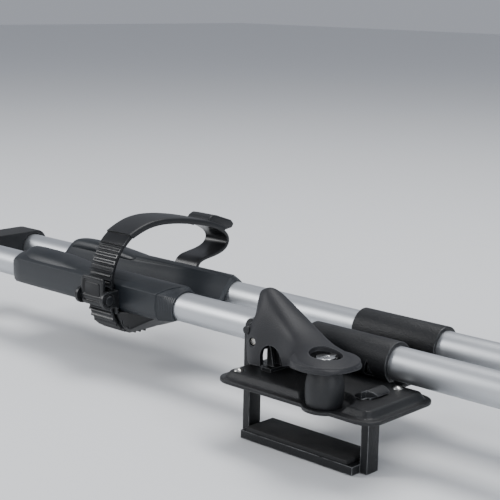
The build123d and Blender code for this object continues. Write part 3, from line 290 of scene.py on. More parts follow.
def moulded(name, colour, rough, grain_scale, grain_depth, wear_and_highlight_colour, wear_and_highlight_amount, dust):
    """Moulded plastic or rubber: fine grain, a slow mottle, paler edges that are partly rubbed wear and
    partly a painted highlight, and a little dust.
    """
    material, tree, shader = new_material(name, colour)
    grain = use_group(tree, MOULD_GRAIN, Grain_Scale=grain_scale)
    wear_and_highlight = use_group(tree, EDGE_WEAR_AND_HIGHLIGHT, Amount=wear_and_highlight_amount)
    dirt = use_group(tree, ROAD_DUST, Amount=dust)
    base = blend_colour(tree, grain.outputs["Mottle"], colour, times(colour, 1.35))
    base = blend_colour(tree, grain.outputs["Speck"], base, times(colour, 2.2))
    # Paler edges: rubbed wear, and a painted highlight
    base = blend_colour(tree, wear_and_highlight.outputs["WearHighlight"], base, wear_and_highlight_colour)
    base = blend_colour(tree, dirt.outputs["Dust"], base, DUST)
    tree.links.new(base, shader.inputs["Base Color"])
    glossy, matt = rough - SHEEN_SPREAD / 2, rough + SHEEN_SPREAD / 2
    roughness = blend_value(tree, grain.outputs["Mottle"], glossy, matt)
    roughness = blend_value(tree, dirt.outputs["Dust"], roughness, DUSTY_ROUGHNESS)
    tree.links.new(roughness, shader.inputs["Roughness"])
    shader.inputs["Specular IOR Level"].default_value = PLASTIC_SHINE
    bump(tree, shader, grain.outputs["Height"], grain_depth, 0.5)
    return material


def coated_steel(name, colour, rough, wear_and_highlight_amount):
    """Powder coated sheet: fine orange peel, and bare bright metal where the edges are rubbed."""
    material, tree, shader = new_material(name, colour)
    grain = use_group(tree, MOULD_GRAIN, Grain_Scale=1300.0)
    wear_and_highlight = use_group(tree, EDGE_WEAR_AND_HIGHLIGHT, Amount=wear_and_highlight_amount, Width=0.0009, Patch_Scale=110.0)
    dirt = use_group(tree, ROAD_DUST, Amount=0.10)
    base = blend_colour(tree, grain.outputs["Mottle"], colour, times(colour, 1.5))
    base = blend_colour(tree, grain.outputs["Speck"], base, times(colour, 3.4))
    base = blend_colour(tree, wear_and_highlight.outputs["WearHighlight"], base, BARE_EDGE)
    base = blend_colour(tree, dirt.outputs["Dust"], base, DUST)
    tree.links.new(base, shader.inputs["Base Color"])
    tree.links.new(wear_and_highlight.outputs["WearHighlight"], shader.inputs["Metallic"])
    roughness = blend_value(tree, wear_and_highlight.outputs["WearHighlight"], rough, BARE_ROUGHNESS)
    tree.links.new(roughness, shader.inputs["Roughness"])
    shader.inputs["Specular IOR Level"].default_value = COAT_SHINE
    bump(tree, shader, grain.outputs["Height"], 0.00022, 0.8)
    return material


def bare_metal(name, colour, rough, line_scale, stretch):
    """Anodised, plated or drawn metal: lines along X, and a faint cloud in the gloss."""
    material, tree, shader = new_material(name, colour)
    drawn = use_group(tree, DRAWN_LINES, Line_Scale=line_scale, Stretch=stretch)
    base = blend_colour(tree, drawn.outputs["Lines"], times(colour, 0.86), colour)
    tree.links.new(base, shader.inputs["Base Color"])
    shader.inputs["Metallic"].default_value = 1.0
    roughness = blend_value(tree, drawn.outputs["Cloud"], rough - 0.05, rough + 0.06)
    tree.links.new(roughness, shader.inputs["Roughness"])
    bump(tree, shader, drawn.outputs["Lines"], 0.00004, 0.4)
    return material


# In the moulded ones, the edge colour and its amount give rubbed wear and a painted highlight on the edges
MATERIALS = {
    "tube_silver": bare_metal("satin_anodised_tube", SILVER, 0.47, 700.0, 0.015),
    "zinc_steel": bare_metal("bright_zinc", ZINC, 0.27, 260.0, 0.6),
    "lock_silver": bare_metal("nickel_lock", NICKEL, 0.22, 420.0, 0.5),
    "dark_steel": coated_steel("black_zinc", MOULD_BLACK, 0.38, 0.7),
    "black_steel": coated_steel("black_powder_coat", COAT_BLACK, 0.44, 0.9),
    "black_plastic": moulded("moulded_black", MOULD_BLACK, 0.50, 1500.0, 0.00010, WEAR_HIGHLIGHT_DARK, 0.5, 0.10),
    "lever_plastic": moulded("lever_charcoal", LEVER_GREY, 0.52, 1250.0, 0.00016, WEAR_HIGHLIGHT_LEVER, 0.7, 0.08),
    "tray_plastic": moulded("tray_charcoal", TRAY_GREY, 0.40, 1700.0, 0.00008, WEAR_HIGHLIGHT_TRAY, 0.6, 0.10),
    "strap_plastic": moulded("strap_black", STRAP_BLACK, 0.30, 1900.0, 0.00005, WEAR_HIGHLIGHT_DARK, 0.7, 0.05),
    "sleeve_rubber": moulded("sleeve_charcoal", MOULD_BLACK, 0.42, 1500.0, 0.00006, WEAR_HIGHLIGHT_SLEEVE, 0.5, 0.08),
    "buckle_plastic": moulded("buckle_black", STRAP_BLACK, 0.34, 1700.0, 0.00006, WEAR_HIGHLIGHT_BUCKLE, 0.8, 0.05),
    "black_rubber": moulded("rubber_black", RUBBER_BLACK, 0.72, 1100.0, 0.00012, WEAR_HIGHLIGHT_RUBBER, 0.4, 0.16),
    "knob_plastic": moulded("knob_soft_black", MOULD_BLACK, 0.46, 1400.0, 0.00012, WEAR_HIGHLIGHT_KNOB, 0.6, 0.08),
}
SLOT_OF = {part["node"]: part["material_slot"] for part in frame["record"]["subparts"]}


def dress(obj, slot_name):
    obj.data.materials.clear()
    obj.data.materials.append(MATERIALS[slot_name])


for node_name, node_object in frame["nodes"].items():
    dress(node_object, SLOT_OF[node_name])


# Modelling, in millimetres: settle() brings each finished piece to metres and into the frame

def only(obj):
    """Makes obj the one selected and active object."""
    if bpy.context.object and bpy.context.object.mode != "OBJECT":
        bpy.ops.object.mode_set(mode="OBJECT")
    bpy.ops.object.select_all(action="DESELECT")
    obj.select_set(True)
    bpy.context.view_layer.objects.active = obj


def edit_all(obj):
    """Opens obj in edit mode, with all of its mesh selected."""
    only(obj)
    bpy.ops.object.mode_set(mode="EDIT")
    bpy.ops.mesh.select_all(action="SELECT")


def apply_modifier(obj, kind, **values):
    only(obj)
    modifier = obj.modifiers.new(kind.lower(), kind)
    for name, value in values.items():
        setattr(modifier, name, value)
    bpy.ops.object.modifier_apply(modifier=modifier.name)
    return obj


def face_outwards(obj):
    """Merges vertices that meet, and turns every face outwards."""
    edit_all(obj)
    bpy.ops.mesh.remove_doubles(threshold=0.001)
    bpy.ops.mesh.normals_make_consistent(inside=False)
    bpy.ops.object.mode_set(mode="OBJECT")
    return obj


def prism(outline, axis, low, high):
    """An outline in the two axes other than axis, extruded along it from low to high."""
    bpy.ops.object.select_all(action="DESELECT")
    bpy.ops.mesh.primitive_circle_add(vertices=len(outline), fill_type="NGON")
    obj = bpy.context.object
    others = [number for number in range(3) if number != axis]
    for vertex, point in zip(obj.data.vertices, outline):
        place = [low] * 3
        place[others[0]], place[others[1]] = point
        vertex.co = place
    edit_all(obj)
    move = [0.0] * 3
    move[axis] = high - low
    bpy.ops.mesh.extrude_region_move(TRANSFORM_OT_translate={"value": move})
    bpy.ops.object.mode_set(mode="OBJECT")
    return face_outwards(obj)


def block(low, high):
    bpy.ops.object.select_all(action="DESELECT")
    bpy.ops.mesh.primitive_cube_add(size=1)
    obj = bpy.context.object
    for vertex in obj.data.vertices:
        vertex.co = [high[n] if vertex.co[n] > 0 else low[n] for n in range(3)]
    return obj


def rod(axis, low, high, centre, radius, sides=64):
    """A cylinder along axis, from low to high, round the point centre of the other two axes."""
    turn = ((0, math.pi / 2, 0), (math.pi / 2, 0, 0), (0, 0, 0))[axis]
    place = list(centre)
    place.insert(axis, (low + high) / 2)
    bpy.ops.object.select_all(action="DESELECT")
    bpy.ops.mesh.primitive_cylinder_add(vertices=sides, radius=radius, depth=high - low, location=place,
                                        rotation=turn)
    bpy.ops.object.transform_apply(location=True, rotation=True, scale=True)
    return bpy.context.object


def combine(obj, tool, operation):
    apply_modifier(obj, "BOOLEAN", object=tool, operation=operation, solver="EXACT")
    bpy.data.objects.remove(tool)
    return obj


def cut(obj, *tools):
    for tool in tools:
        combine(obj, tool, "DIFFERENCE")
    return obj


def join(obj, *others):
    for other in others:
        combine(obj, other, "UNION")
    return obj


def bevel(obj, width, segments=3, angle=30):
    return apply_modifier(obj, "BEVEL", width=width, segments=segments, limit_method="ANGLE",
                          angle_limit=math.radians(angle), use_clamp_overlap=True)


def soften(obj, voxel, rounds):
    """Rebuilds the surface in even faces and smooths it, as a moulding's corners are."""
    apply_modifier(obj, "REMESH", mode="VOXEL", voxel_size=voxel, use_smooth_shade=True)
    return apply_modifier(obj, "SMOOTH", factor=0.5, iterations=rounds)


def shaped_sheet(rows, levels=0):
    """A grid whose vertices are placed row by row, then smoothed."""
    across, along = len(rows[0]), len(rows)
    bpy.ops.object.select_all(action="DESELECT")
    bpy.ops.mesh.primitive_grid_add(x_subdivisions=across - 1, y_subdivisions=along - 1, size=2)
    obj = bpy.context.object
    order = sorted(obj.data.vertices, key=lambda v: (round(v.co.y, 4), round(v.co.x, 4)))
    for vertex, point in zip(order, [point for row in rows for point in row]):
        vertex.co = point
    return apply_modifier(obj, "SUBSURF", levels=levels, render_levels=levels) if levels else obj


def turn_up(obj):
    """Faces the sheet's highest face upwards, and the rest with it."""
    edit_all(obj)
    bpy.ops.mesh.normals_make_consistent(inside=False)
    bpy.ops.object.mode_set(mode="OBJECT")
    highest = max(obj.data.polygons, key=lambda face: face.center.z)
    if highest.normal.z < 0:
        obj.data.flip_normals()
    return obj


def node_copy(node):
    """A merged copy of a CAD node's mesh, in millimetres."""
    source = frame["nodes"][node]
    obj = bpy.data.objects.new(node, source.data.copy())
    bpy.context.scene.collection.objects.link(obj)
    obj.data.transform(Matrix.Scale(1 / MM, 4))
    edit_all(obj)
    bpy.ops.mesh.remove_doubles(threshold=0.002)
    bpy.ops.mesh.tris_convert_to_quads(face_threshold=math.radians(1), shape_threshold=math.radians(60))
    bpy.ops.mesh.dissolve_limited(angle_limit=math.radians(0.5))
    bpy.ops.object.mode_set(mode="OBJECT")
    return obj


def settle(obj, name, body, slot_name, *nodes, smooth=40):
    """Brings a finished piece from millimetres to metres, dresses it, and lets it stand for the nodes."""
    obj.data.transform(obj.matrix_world)
    obj.matrix_world = Matrix.Identity(4)
    obj.data.transform(Matrix.Scale(MM, 4))
    obj.name = name
    obj.data.name = name
    only(obj)
    bpy.ops.object.shade_smooth_by_angle(angle=math.radians(smooth))
    dress(obj, slot_name)
    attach(obj, body)
    if nodes:
        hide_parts(*nodes)
    return obj


def settle_pair(obj, piece, body, slot_name, *nodes, mirrored=False, smooth=40):
    """Settles the rear foot's or holder's piece, and its copy for the front one."""
    twin = obj.copy()
    twin.data = obj.data.copy()
    bpy.context.scene.collection.objects.link(twin)
    if mirrored:
        twin.data.transform(Matrix.Translation((FOOT_SPREAD / MM, 0, 0)) @ Matrix.Scale(-1, 4, (1, 0, 0)))
        twin.data.flip_normals()
    else:
        twin.data.transform(Matrix.Translation((FOOT_SPREAD / MM, 0, 0)))
    for side, one in zip(FOOT_BODIES, (obj, twin)):
        whole_body = body if body == "root" else f"{side}_{body}"
        settle(one, f"{side}_{piece}", whole_body, slot_name, *[f"{side}_{node}" for node in nodes],
               smooth=smooth)


# The clamping lever

POST = (28.0, -79.0)
HINGE = (-34.0, 25.0)
LEVER_WALL = 2.8
LEVER_ROWS = (
    # from the near bottom edge, over the ridge or band, to the far bottom edge
    ((-41.8, -66, 11), (-42.3, -66.5, 23), (-41.6, -67.0, 31.5), (-34.4, -66.5, 38.5), (-37.2, -62.5, 54.5),
     (-37.2, -54, 54.5), (-35.0, -49, 41), (-41.0, -46.5, 32), (-41.8, -46.5, 9)),
    ((-36, -71.2, 11), (-36, -72.0, 23), (-35.0, -71.4, 33.0), (-31.2, -67.4, 49), (-31.5, -61.5, 57.6),
     (-31.5, -54, 57.4), (-32, -48, 51), (-33, -46, 34), (-34, -46, 9)),
    ((-26, -70.8, 12), (-24, -71.4, 22), (-22.0, -71.2, 33), (-20.5, -68.4, 45.2), (-21.5, -62, 50.9),
     (-21.5, -55, 51.2), (-21, -49, 47), (-23, -46, 32), (-26, -46, 9)),
    ((-16, -70.5, 14), (-14, -71.5, 22), (-11, -72.2, 30.5), (-9, -70.6, 38.8), (-10, -63.4, 43.5),
     (-10, -56, 44.4), (-9, -50, 41.5), (-12, -46.5, 29), (-16, -46, 9.4)),
    ((-6, -71, 16.5), (-4, -74, 22), (0, -76, 28), (1.5, -75.5, 33.5), (1.5, -67, 37.8), (1.5, -58, 39.2),
     (2, -52, 36), (-1, -48, 26), (-5, -47.5, 17)),
    ((4, -81, 21.5), (7, -84, 24.5), (10, -86, 28), (12, -83, 32.2), (12.5, -73, 35.4), (12.5, -63, 36.0),
     (12.5, -56.5, 33.4), (12, -53, 27.5), (9, -52, 23)),
    ((15, -94, 25.2), (17, -97, 27), (19.5, -96.5, 29), (21.5, -92, 32.2), (22, -82, 34.6), (22, -70, 34.8),
     (21.5, -61, 32.4), (21.5, -57.5, 28.5), (20, -57, 25.5)),
    ((31, -98.5, 26.5), (33, -100.5, 28.2), (33.5, -99, 30), (34, -94, 31.7), (34.5, -85, 32.8),
     (35, -72, 32.4), (34, -63, 30.6), (34.5, -59, 28.4), (33, -60, 26.2)),
    ((41.5, -94, 26.6), (44.5, -93.5, 28.2), (45, -92, 29.6), (45.5, -87.5, 30.4), (46.5, -83, 30.3),
     (46.5, -75.5, 29.9), (45.5, -69.5, 29.2), (44.5, -66, 28.2), (41.5, -65.5, 26.6)),
    ((41.5, -93, 26.4), (44, -90.5, 26.9), (45.5, -88, 27.2), (46.8, -85, 27.4), (47.5, -82, 27.4),
     (47.5, -76, 27.2), (46.5, -71.5, 27), (44.5, -68, 26.8), (41.5, -66.5, 26.4)),
)
LIP_CORE_R = 19.2
LIP_UNDERSIDE_Z = 26.6
LIP_CORE_TOP_Z = 30.4
LEDGE_Z = 29.3
RECESS_R = 9.4
LEDGE_HOLE_R = 7.4
LUG_SLOT = (2.5, 8.7)
ARCH_X = -18.3
ARCH_Z = 17.4
ARCH_R = 8.7
PIN_POCKET_R = 3.3
PIN_POCKET_Y = -70.4
HINGE_PIN_R = 2.5
HINGE_HEAD_R = 4.4
HINGE_PIN_SEAT = 1.9
PIN_CLEARANCE = 0.05
# Where the tools that cut the lever start and stop
OUTSIDE_Y = -76
BETWEEN_WALLS_Y = -62
BEHIND_Y = -40
OVER_Z = 60


def lever():
    """The hand lever: a smooth moulded shell from the ridge to the round lip over the post."""
    shell = turn_up(shaped_sheet(LEVER_ROWS, 3))
    apply_modifier(shell, "SOLIDIFY", thickness=LEVER_WALL, offset=-1, use_even_offset=True,
                   use_quality_normals=True)
    face_outwards(shell)
    core = rod(2, LIP_UNDERSIDE_Z, LIP_CORE_TOP_Z, POST, LIP_CORE_R, 96)
    bevel(core, 0.8)
    join(shell, core)
    pocket = rod(1, OUTSIDE_Y, PIN_POCKET_Y, HINGE, PIN_POCKET_R)
    arch = rod(1, OUTSIDE_Y, BETWEEN_WALLS_Y, (ARCH_X, ARCH_Z), ARCH_R)
    legs = block((ARCH_X - ARCH_R, OUTSIDE_Y, 0), (ARCH_X + ARCH_R, BETWEEN_WALLS_Y, ARCH_Z))
    recess = rod(2, LEDGE_Z, OVER_Z, POST, RECESS_R)
    hole = rod(2, 0, OVER_Z, POST, LEDGE_HOLE_R)
    pin_hole = rod(1, OUTSIDE_Y, BEHIND_Y, HINGE, HINGE_PIN_R + PIN_CLEARANCE)
    lug_slot = block((POST[0] - LUG_SLOT[0], POST[1] - LUG_SLOT[1], 0),
                     (POST[0] + LUG_SLOT[0], POST[1] + LUG_SLOT[1], OVER_Z))
    return cut(shell, arch, legs, recess, hole, lug_slot, pocket, pin_hole)


def closed_rows(rows):
    """A closed body from rows of points that each go once round it."""
    body = shaped_sheet([[*row, row[0]] for row in rows])
    edit_all(body)
    bpy.ops.mesh.remove_doubles(threshold=0.001)
    bpy.ops.mesh.fill_holes(sides=0)
    bpy.ops.object.mode_set(mode="OBJECT")
    return face_outwards(body)


def ring(place, centre, radius_at, sides, axis):
    """Points once round a line along axis. radius_at gives the radius for each angle."""
    others = [number for number in range(3) if number != axis]
    points = []
    for number in range(sides):
        angle = 2 * math.pi * number / sides
        point = [place] * 3
        point[others[0]] = centre[0] + radius_at(angle) * math.cos(angle)
        point[others[1]] = centre[1] + radius_at(angle) * math.sin(angle)
        points.append(tuple(point))
    return points


def turned_body(profile, axis, centre, sides=72):
    """A body turned about a line along axis, from a profile of places along it and radii."""
    return closed_rows([ring(place, centre, lambda angle: radius, sides, axis)
                        for place, radius in profile])


def hinge_pin():
    """The hinge pin: a dished end that sits deep in the lever's near wall, and a head on the far one."""
    low, high = (corner.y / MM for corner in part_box("rear_lever_pin"))
    seat = low + HINGE_PIN_SEAT
    profile = ((seat + 1.0, 1.3), (seat + 0.6, 1.7), (seat, 2.0), (seat + 0.3, 2.4),
               (seat + 1.0, HINGE_PIN_R), (high - 1.2, HINGE_PIN_R), (high - 1.2, HINGE_HEAD_R),
               (high - 0.4, HINGE_HEAD_R), (high, 4.0), (high, 2.4), (high - 0.4, 1.9))
    return turned_body(profile, 1, HINGE)


settle_pair(lever(), "hand_lever", "lever", "lever_plastic", "cam_lever", smooth=50)
settle_pair(hinge_pin(), "hinge_pin", "lever", "zinc_steel", "lever_pin", smooth=35)


# The rest of the foot

PLATFORM_Z = 8.0
# Heights and radii of the post, up to the foot of its neck
POST_BARREL = ((4.0, 9.0), (4.3, 9.9), (5.2, 10.3), (8.0, 10.6), (12.0, 10.9), (16.0, 10.8), (19.5, 10.2),
               (22.5, 9.2), (24.6, 8.6), (25.4, 8.2), (25.7, 7.4), (25.7, 5.6))
POST_NECK_R = 5.4
POST_BORE_R = 4.05
POST_BORE_FLOOR_Z = 8.3
# The bracket's heel from the hinge, and its ears and legs, measured inwards from the bracket's sides
HEEL = 4.6
BRACKET_BASE_T = 2.2
BRACKET_WEB_T = 1.8
EAR_R = 4.6
EAR_FROM, EAR_TO = 1.1, 3.4
LEG_FROM, LEG_TO = 4.4, 6.4
# The rocking head's outline: X, and the height over the platform
HEAD_OUTLINE = ((39.6, 1.0), (39.8, 2.0), (41.6, 3.6), (44.6, 4.5), (47.8, 3.4), (49.4, 1.9), (49.6, 1.0),
                (47.4, 0.6), (44.5, 0.3), (41.8, 0.6))
HEAD_SIDES = (-67.5, -48.5)
HEAD_SPACE = ((36, -75, PLATFORM_Z + 0.35), (54, -40, 20))
HEAD_NOTCH = ((44.5, -70), (44.5, -63.5), (51, -58), (51, -70))


def lock_post():
    """The moulded post under the lever's lip: a soft barrel with a neck that reaches into the lip."""
    neck_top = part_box("rear_lock_post")[1].z / MM
    post = turned_body((*POST_BARREL, (neck_top, POST_NECK_R)), 2, POST, 96)
    return cut(post, rod(2, POST_BORE_FLOOR_Z, neck_top + 2, POST, POST_BORE_R))


def lever_bracket():
    """Two ears that carry the hinge pin, on a web that stands clear of the open lever's walls."""
    low, high = (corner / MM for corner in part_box("rear_lever_bracket"))
    heel_x, hinge_z = HINGE[0] + HEEL, HINGE[1]
    web_x = heel_x + BRACKET_WEB_T
    bracket = block((heel_x, low.y, low.z), (high.x - 5, high.y, low.z + BRACKET_BASE_T))
    join(bracket, block((heel_x, low.y + LEG_FROM, low.z), (web_x, high.y - LEG_FROM, hinge_z - 2)))
    join(bracket, block((heel_x - 3, low.y + EAR_FROM, hinge_z - 4), (web_x, high.y - EAR_FROM, hinge_z - 1)))
    for near, far in ((low.y + EAR_FROM, low.y + EAR_TO), (high.y - EAR_TO, high.y - EAR_FROM)):
        join(bracket, rod(1, near, far, HINGE, EAR_R, 48))
    leg = ((heel_x, hinge_z - 2), (heel_x + 2.4, hinge_z - 2), (heel_x + 5.5, low.z), (heel_x, low.z))
    for near, far in ((low.y + LEG_FROM, low.y + LEG_TO), (high.y - LEG_TO, high.y - LEG_FROM)):
        join(bracket, prism(leg, 1, near, far))
    bevel(bracket, 0.4, 2, 35)
    return cut(bracket, rod(1, low.y - 2, high.y + 2, HINGE, HINGE_PIN_R + PIN_CLEARANCE))


def clamp_hook():
    """The steel hook below the plate: softened bends, and a low rocking head on the plate."""
    hook = node_copy("rear_clamp_hook")
    cut(hook, block(*HEAD_SPACE))
    head = prism([(x, PLATFORM_Z + rise) for x, rise in HEAD_OUTLINE], 1, *HEAD_SIDES)
    cut(head, prism(HEAD_NOTCH, 2, 0, 20))
    bevel(head, 0.8, 3, 25)
    join(hook, head)
    return bevel(hook, 0.7, 3, 38)


def foot_plate():
    """The pressed plate: the platform, its bead and the rim are rounded as a pressing's are."""
    return soften(node_copy("rear_foot_plate"), 0.62, 5)


def softened_copy(node, width, segments=3):
    """A CAD node's own shape, with its corners rounded."""
    return bevel(node_copy(node), width, segments, 35)


settle_pair(lock_post(), "post", "root", "black_plastic", "lock_post", smooth=40)
settle_pair(lever_bracket(), "ear_bracket", "root", "black_steel", "lever_bracket", smooth=35)
settle_pair(clamp_hook(), "rocking_hook", "hook", "black_steel", "clamp_hook", smooth=35)
settle_pair(foot_plate(), "pressed_plate", "root", "black_steel", "foot_plate", smooth=60)
for copied, piece, body, slot_name, width, segments, smooth in (
        ("tube_saddle", "rolled_saddle", "root", "black_steel", 0.7, 3, 35),
        ("bar_pad", "crossbar_pad", "root", "black_rubber", 0.6, 3, 35),
        ("hook_pad", "hook_cushion", "hook", "black_rubber", 0.8, 3, 35),
        ("saddle_screws", "hex_screws", "root", "zinc_steel", 0.5, 3, 30),
        ("lock_core", "key_core", "core", "lock_silver", 0.35, 2, 30),
        ("draw_pin", "cross_pin", "lever", "dark_steel", 0.5, 2, 35)):
    settle_pair(softened_copy(f"rear_{copied}", width, segments), piece, body, slot_name, copied,
                smooth=smooth)


# The wheel tray and the clamp under it

TUBE_LINE = (-24.0, 18.1)
TUBE_BORE_R = 10.3
TRAY_LOW, TRAY_HIGH = (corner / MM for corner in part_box("rear_wheel_tray"))
STRAP_X = sum(corner.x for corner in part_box("rear_wheel_strap")) / 2 / MM
# Each point of the tray's half section: Y and Z along the body, where the nose starts before the
# tray's end, and Y, Z and the distance from the end where the nose stops.
TRAY_SECTION = (
    ((35.2, 8.1), 16.5, (33.0, 9.6), 3.6),
    ((37.2, 11.0), 17.0, (34.6, 12.6), 3.4),
    ((38.0, 16.0), 17.5, (35.2, 17.2), 3.2),
    ((38.0, 22.0), 17.5, (34.6, 21.8), 3.0),
    ((38.0, 26.3), 17.0, (33.2, 24.6), 2.8),
    ((37.0, 27.4), 16.0, (32.2, 25.8), 2.6),
    ((33.0, 29.6), 12.0, (29.6, 27.9), 2.0),
    ((29.0, 31.0), 8.5, (27.0, 29.0), 1.4),
    ((25.0, 31.6), 5.5, (24.4, 29.6), 0.8),
    ((20.0, 31.4), 3.2, (20.6, 29.2), 0.4),
    ((14.0, 25.0), 2.4, (15.4, 24.4), 0.2),
    ((8.0, 18.2), 2.0, (9.0, 17.9), 0.0),
)
NOSE_ROWS = 22
NOSE_RIB = 0.26
NOSE_RIM = 0.35
NOSE_CURVE = 1.25
# Distance from the tray's outer end, and the shares of the section's width and height there
TRAY_END = ((0, 0.945, 0.90), (2, 0.962, 0.965), (5, 0.985, 0.99), (11, 1.0, 1.0))
# Distance from the tray's outer end, and the shoulder's top and outer side there
SHOULDER = ((3, 30.6, 26.5), (5, 32.8, 29.0), (10, 34.6, 34.0), (18, 35.0, 36.4), (44, 34.8, 36.4),
            (56, 33.8, 36.4), (68, 32.2, 36.2), (80, 30.8, 36.0))
SHOULDER_FLOOR_Z = 31.0
SHOULDER_INNER = 16


def tray_row(share, rib=0.0):
    """The tray's section at a share of its nose: 0 where the nose starts, 1 where it stops."""
    half = []
    for (y, z), start, (end_y, end_z), stop in TRAY_SECTION:
        bend = share ** NOSE_CURVE
        x = TRAY_HIGH.x - start + (start - stop) * share
        half.append((x, y + (end_y - y) * bend - rib, z + (end_z - z) * bend - rib / 2))
    return [(x, -y, z) for x, y, z in half] + [(x, y, z) for x, y, z in reversed(half)]


def tray_shoulder(side):
    """The low rounded shoulder along one side of the tray's outer end."""
    rows = []
    for step, top, outer in SHOULDER:
        rise, width = top - SHOULDER_FLOOR_Z, outer - SHOULDER_INNER
        section = ((outer, 26.0), (outer - 0.3, 27.8), (outer - 2.6, 29.8 + rise * 0.55),
                   (SHOULDER_INNER + width * 0.64, SHOULDER_FLOOR_Z + rise * 0.9),
                   (SHOULDER_INNER + width * 0.4, 31.4 + rise), (18.6, 31.2 + rise * 0.9),
                   (16.4, 29.0 + rise * 0.4), (SHOULDER_INNER, 25.0))
        rows.append([(TRAY_LOW.x + step, side * y, z) for y, z in section])
    return apply_modifier(closed_rows(rows), "SUBSURF", levels=2, render_levels=2)


def wheel_tray():
    """The moulded tray on both tubes, with a ribbed nose round each tube at the end towards the foot."""
    rows = []
    for step, width, height in TRAY_END:
        rows.append([(TRAY_LOW.x + step, y * width, z * height) for _, y, z in tray_row(0)])
    rows.append(tray_row(0))
    rows += [tray_row(0.02, -NOSE_RIM), tray_row(0.06, -NOSE_RIM), tray_row(0.09, NOSE_RIB)]
    rows += [tray_row(number / NOSE_ROWS, NOSE_RIB * (number % 2)) for number in range(3, NOSE_ROWS + 1)]
    body = closed_rows(rows)
    for side in (-1, 1):
        join(body, tray_shoulder(side))
    for side in (-1, 1):
        cut(body, rod(0, TRAY_LOW.x - 5, TRAY_HIGH.x + 5, (side * TUBE_LINE[0], TUBE_LINE[1]), TUBE_BORE_R))
    return bevel(body, 0.55, 3, 42)


BELLY_LOW, BELLY_HIGH = (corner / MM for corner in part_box("rear_under_clamp"))
STRAP_GROOVE = ((-42, -16), (-42, 9), (-39.8, 9), (-38.4, 3.6), (-34.4, -1.6), (-26.6, -6.0), (-17.6, -7.4),
                (17.6, -7.4), (26.6, -6.0), (34.4, -1.6), (38.4, 3.6), (39.8, 9), (42, 9), (42, -16))
STRAP_GROOVE_HALF = 11.9
# Shallow grooves beside the strap: the outline of each, less the part that stays inside it
RIB_OUTSIDE = ((-44, -5), (-44, 14), (44, 14), (44, -5))
RIB_INSIDE = ((-36.4, 15), (-36.4, 4.4), (-34.2, -1.6), (-27.4, -8.3), (-21, -11.4), (-13, -10.4), (0, -8.8),
              (13, -10.4), (21, -11.4), (27.4, -8.3), (34.2, -1.6), (36.4, 4.4), (36.4, 15))
RIB_PLACES = (-22.2, -19, -15.8, 15.2, 18.4, 21.6)
RIB_HALF = 0.45


def under_clamp():
    """The dark rounded clamp under the tubes, with a groove for the strap."""
    middle = STRAP_X
    floor_z = BELLY_LOW.z - 2.4
    side_view = ((BELLY_LOW.x, BELLY_HIGH.z), (BELLY_LOW.x + 1.5, 0), (BELLY_LOW.x + 8, -9.2),
                 (middle - 8, floor_z), (middle + 6, floor_z), (middle + 13, -9.6), (middle + 19, -5.4),
                 (middle + 26, -0.4), (middle + 33, 3.6), (middle + 40, BELLY_HIGH.z))
    belly = prism(side_view, 1, -38, 38)
    section = ((-37.5, BELLY_HIGH.z), (-37.5, 4), (-35, -2.2), (-28, -9.4), (-21, floor_z), (-13, -11.4),
               (0, -9.6), (13, -11.4), (21, floor_z), (28, -9.4), (35, -2.2), (37.5, 4),
               (37.5, BELLY_HIGH.z))
    combine(belly, prism(section, 0, BELLY_LOW.x - 5, BELLY_HIGH.x + 5), "INTERSECT")
    plan = [(BELLY_LOW.x - 1, 20), (BELLY_LOW.x + 5, 30), (middle - 14, 37), (middle - 9, 39),
            (middle + 9, 39), (middle + 18, 34), (middle + 30, 20), (middle + 42, 6)]
    plan += [(x, -y) for x, y in reversed(plan)]
    combine(belly, prism(plan, 2, -20, 20), "INTERSECT")
    soften(belly, 0.9, 7)
    cut(belly, prism(STRAP_GROOVE, 0, middle - STRAP_GROOVE_HALF, middle + STRAP_GROOVE_HALF))
    for place in RIB_PLACES:
        rib = prism(RIB_OUTSIDE, 0, middle + place - RIB_HALF, middle + place + RIB_HALF)
        cut(rib, prism(RIB_INSIDE, 0, middle + place - 2, middle + place + 2))
        cut(belly, rib)
    return belly


# Strap, sleeve and buckle

STRAP_HALF = 11.5
STRAP_T = 2.4
STRAP_LINE = ((-8, -9.2), (-18, -9.2), (-27, -7.6), (-35.5, -2.8), (-39.8, 3), (-41.3, 9), (-41.3, 16),
              (-41.3, 24), (-41.0, 31), (-39.0, 38.5), (-35.3, 45.8), (-30.6, 52.2), (-24.8, 57.3),
              (-14, 62.4), (0, 64.8), (14, 64.3), (28, 62.4), (42, 59.6), (54, 56.3), (64, 52.3),
              (71, 47.8), (73.4, 42.6), (70.6, 37.4), (63, 34.3), (52, 32.7), (44.5, 31.4), (40.4, 27.5),
              (39.6, 20), (39.5, 9))
# Sections across the strap: a place along X, and how far out of the loop
BAND_SECTION = ((-STRAP_HALF, 0), (0.6 - STRAP_HALF, 0.05), (0, 0.05), (STRAP_HALF - 0.6, 0.05),
                (STRAP_HALF, 0))
COLLAR_SECTION = ((-12.2, -1.0), (-12.2, 1.3), (-11.4, 2.1), (0, 2.2), (11.4, 2.1), (12.2, 1.3),
                  (12.2, -1.0))
SLEEVE_SECTION = ((-12.6, -1.4), (-12.6, 1.6), (-12.0, 2.5), (-10.6, 2.9), (0, 3.2), (10.6, 2.9), (12.0, 2.5),
                  (12.6, 1.6), (12.6, -1.4))
SLEEVE_WIDENS = 0.32
COLLAR_Y = (-31.5, -23.5)
COLLAR_OVER_Z = 40
LINE_STEPS = 8
TAB_OUTLINE = ((49.5, 57.6), (53.5, 62.2), (57, 63.4), (61.5, 62.6), (76.5, 57.4), (79.4, 54.2), (77.4, 51.4),
               (70.5, 50.6), (62, 54))
TAB_HALF = 11.2
TOOTH_PITCH = 2.3
TOOTH_STARTS = 3.0
TOOTH_ENDS = 86.0
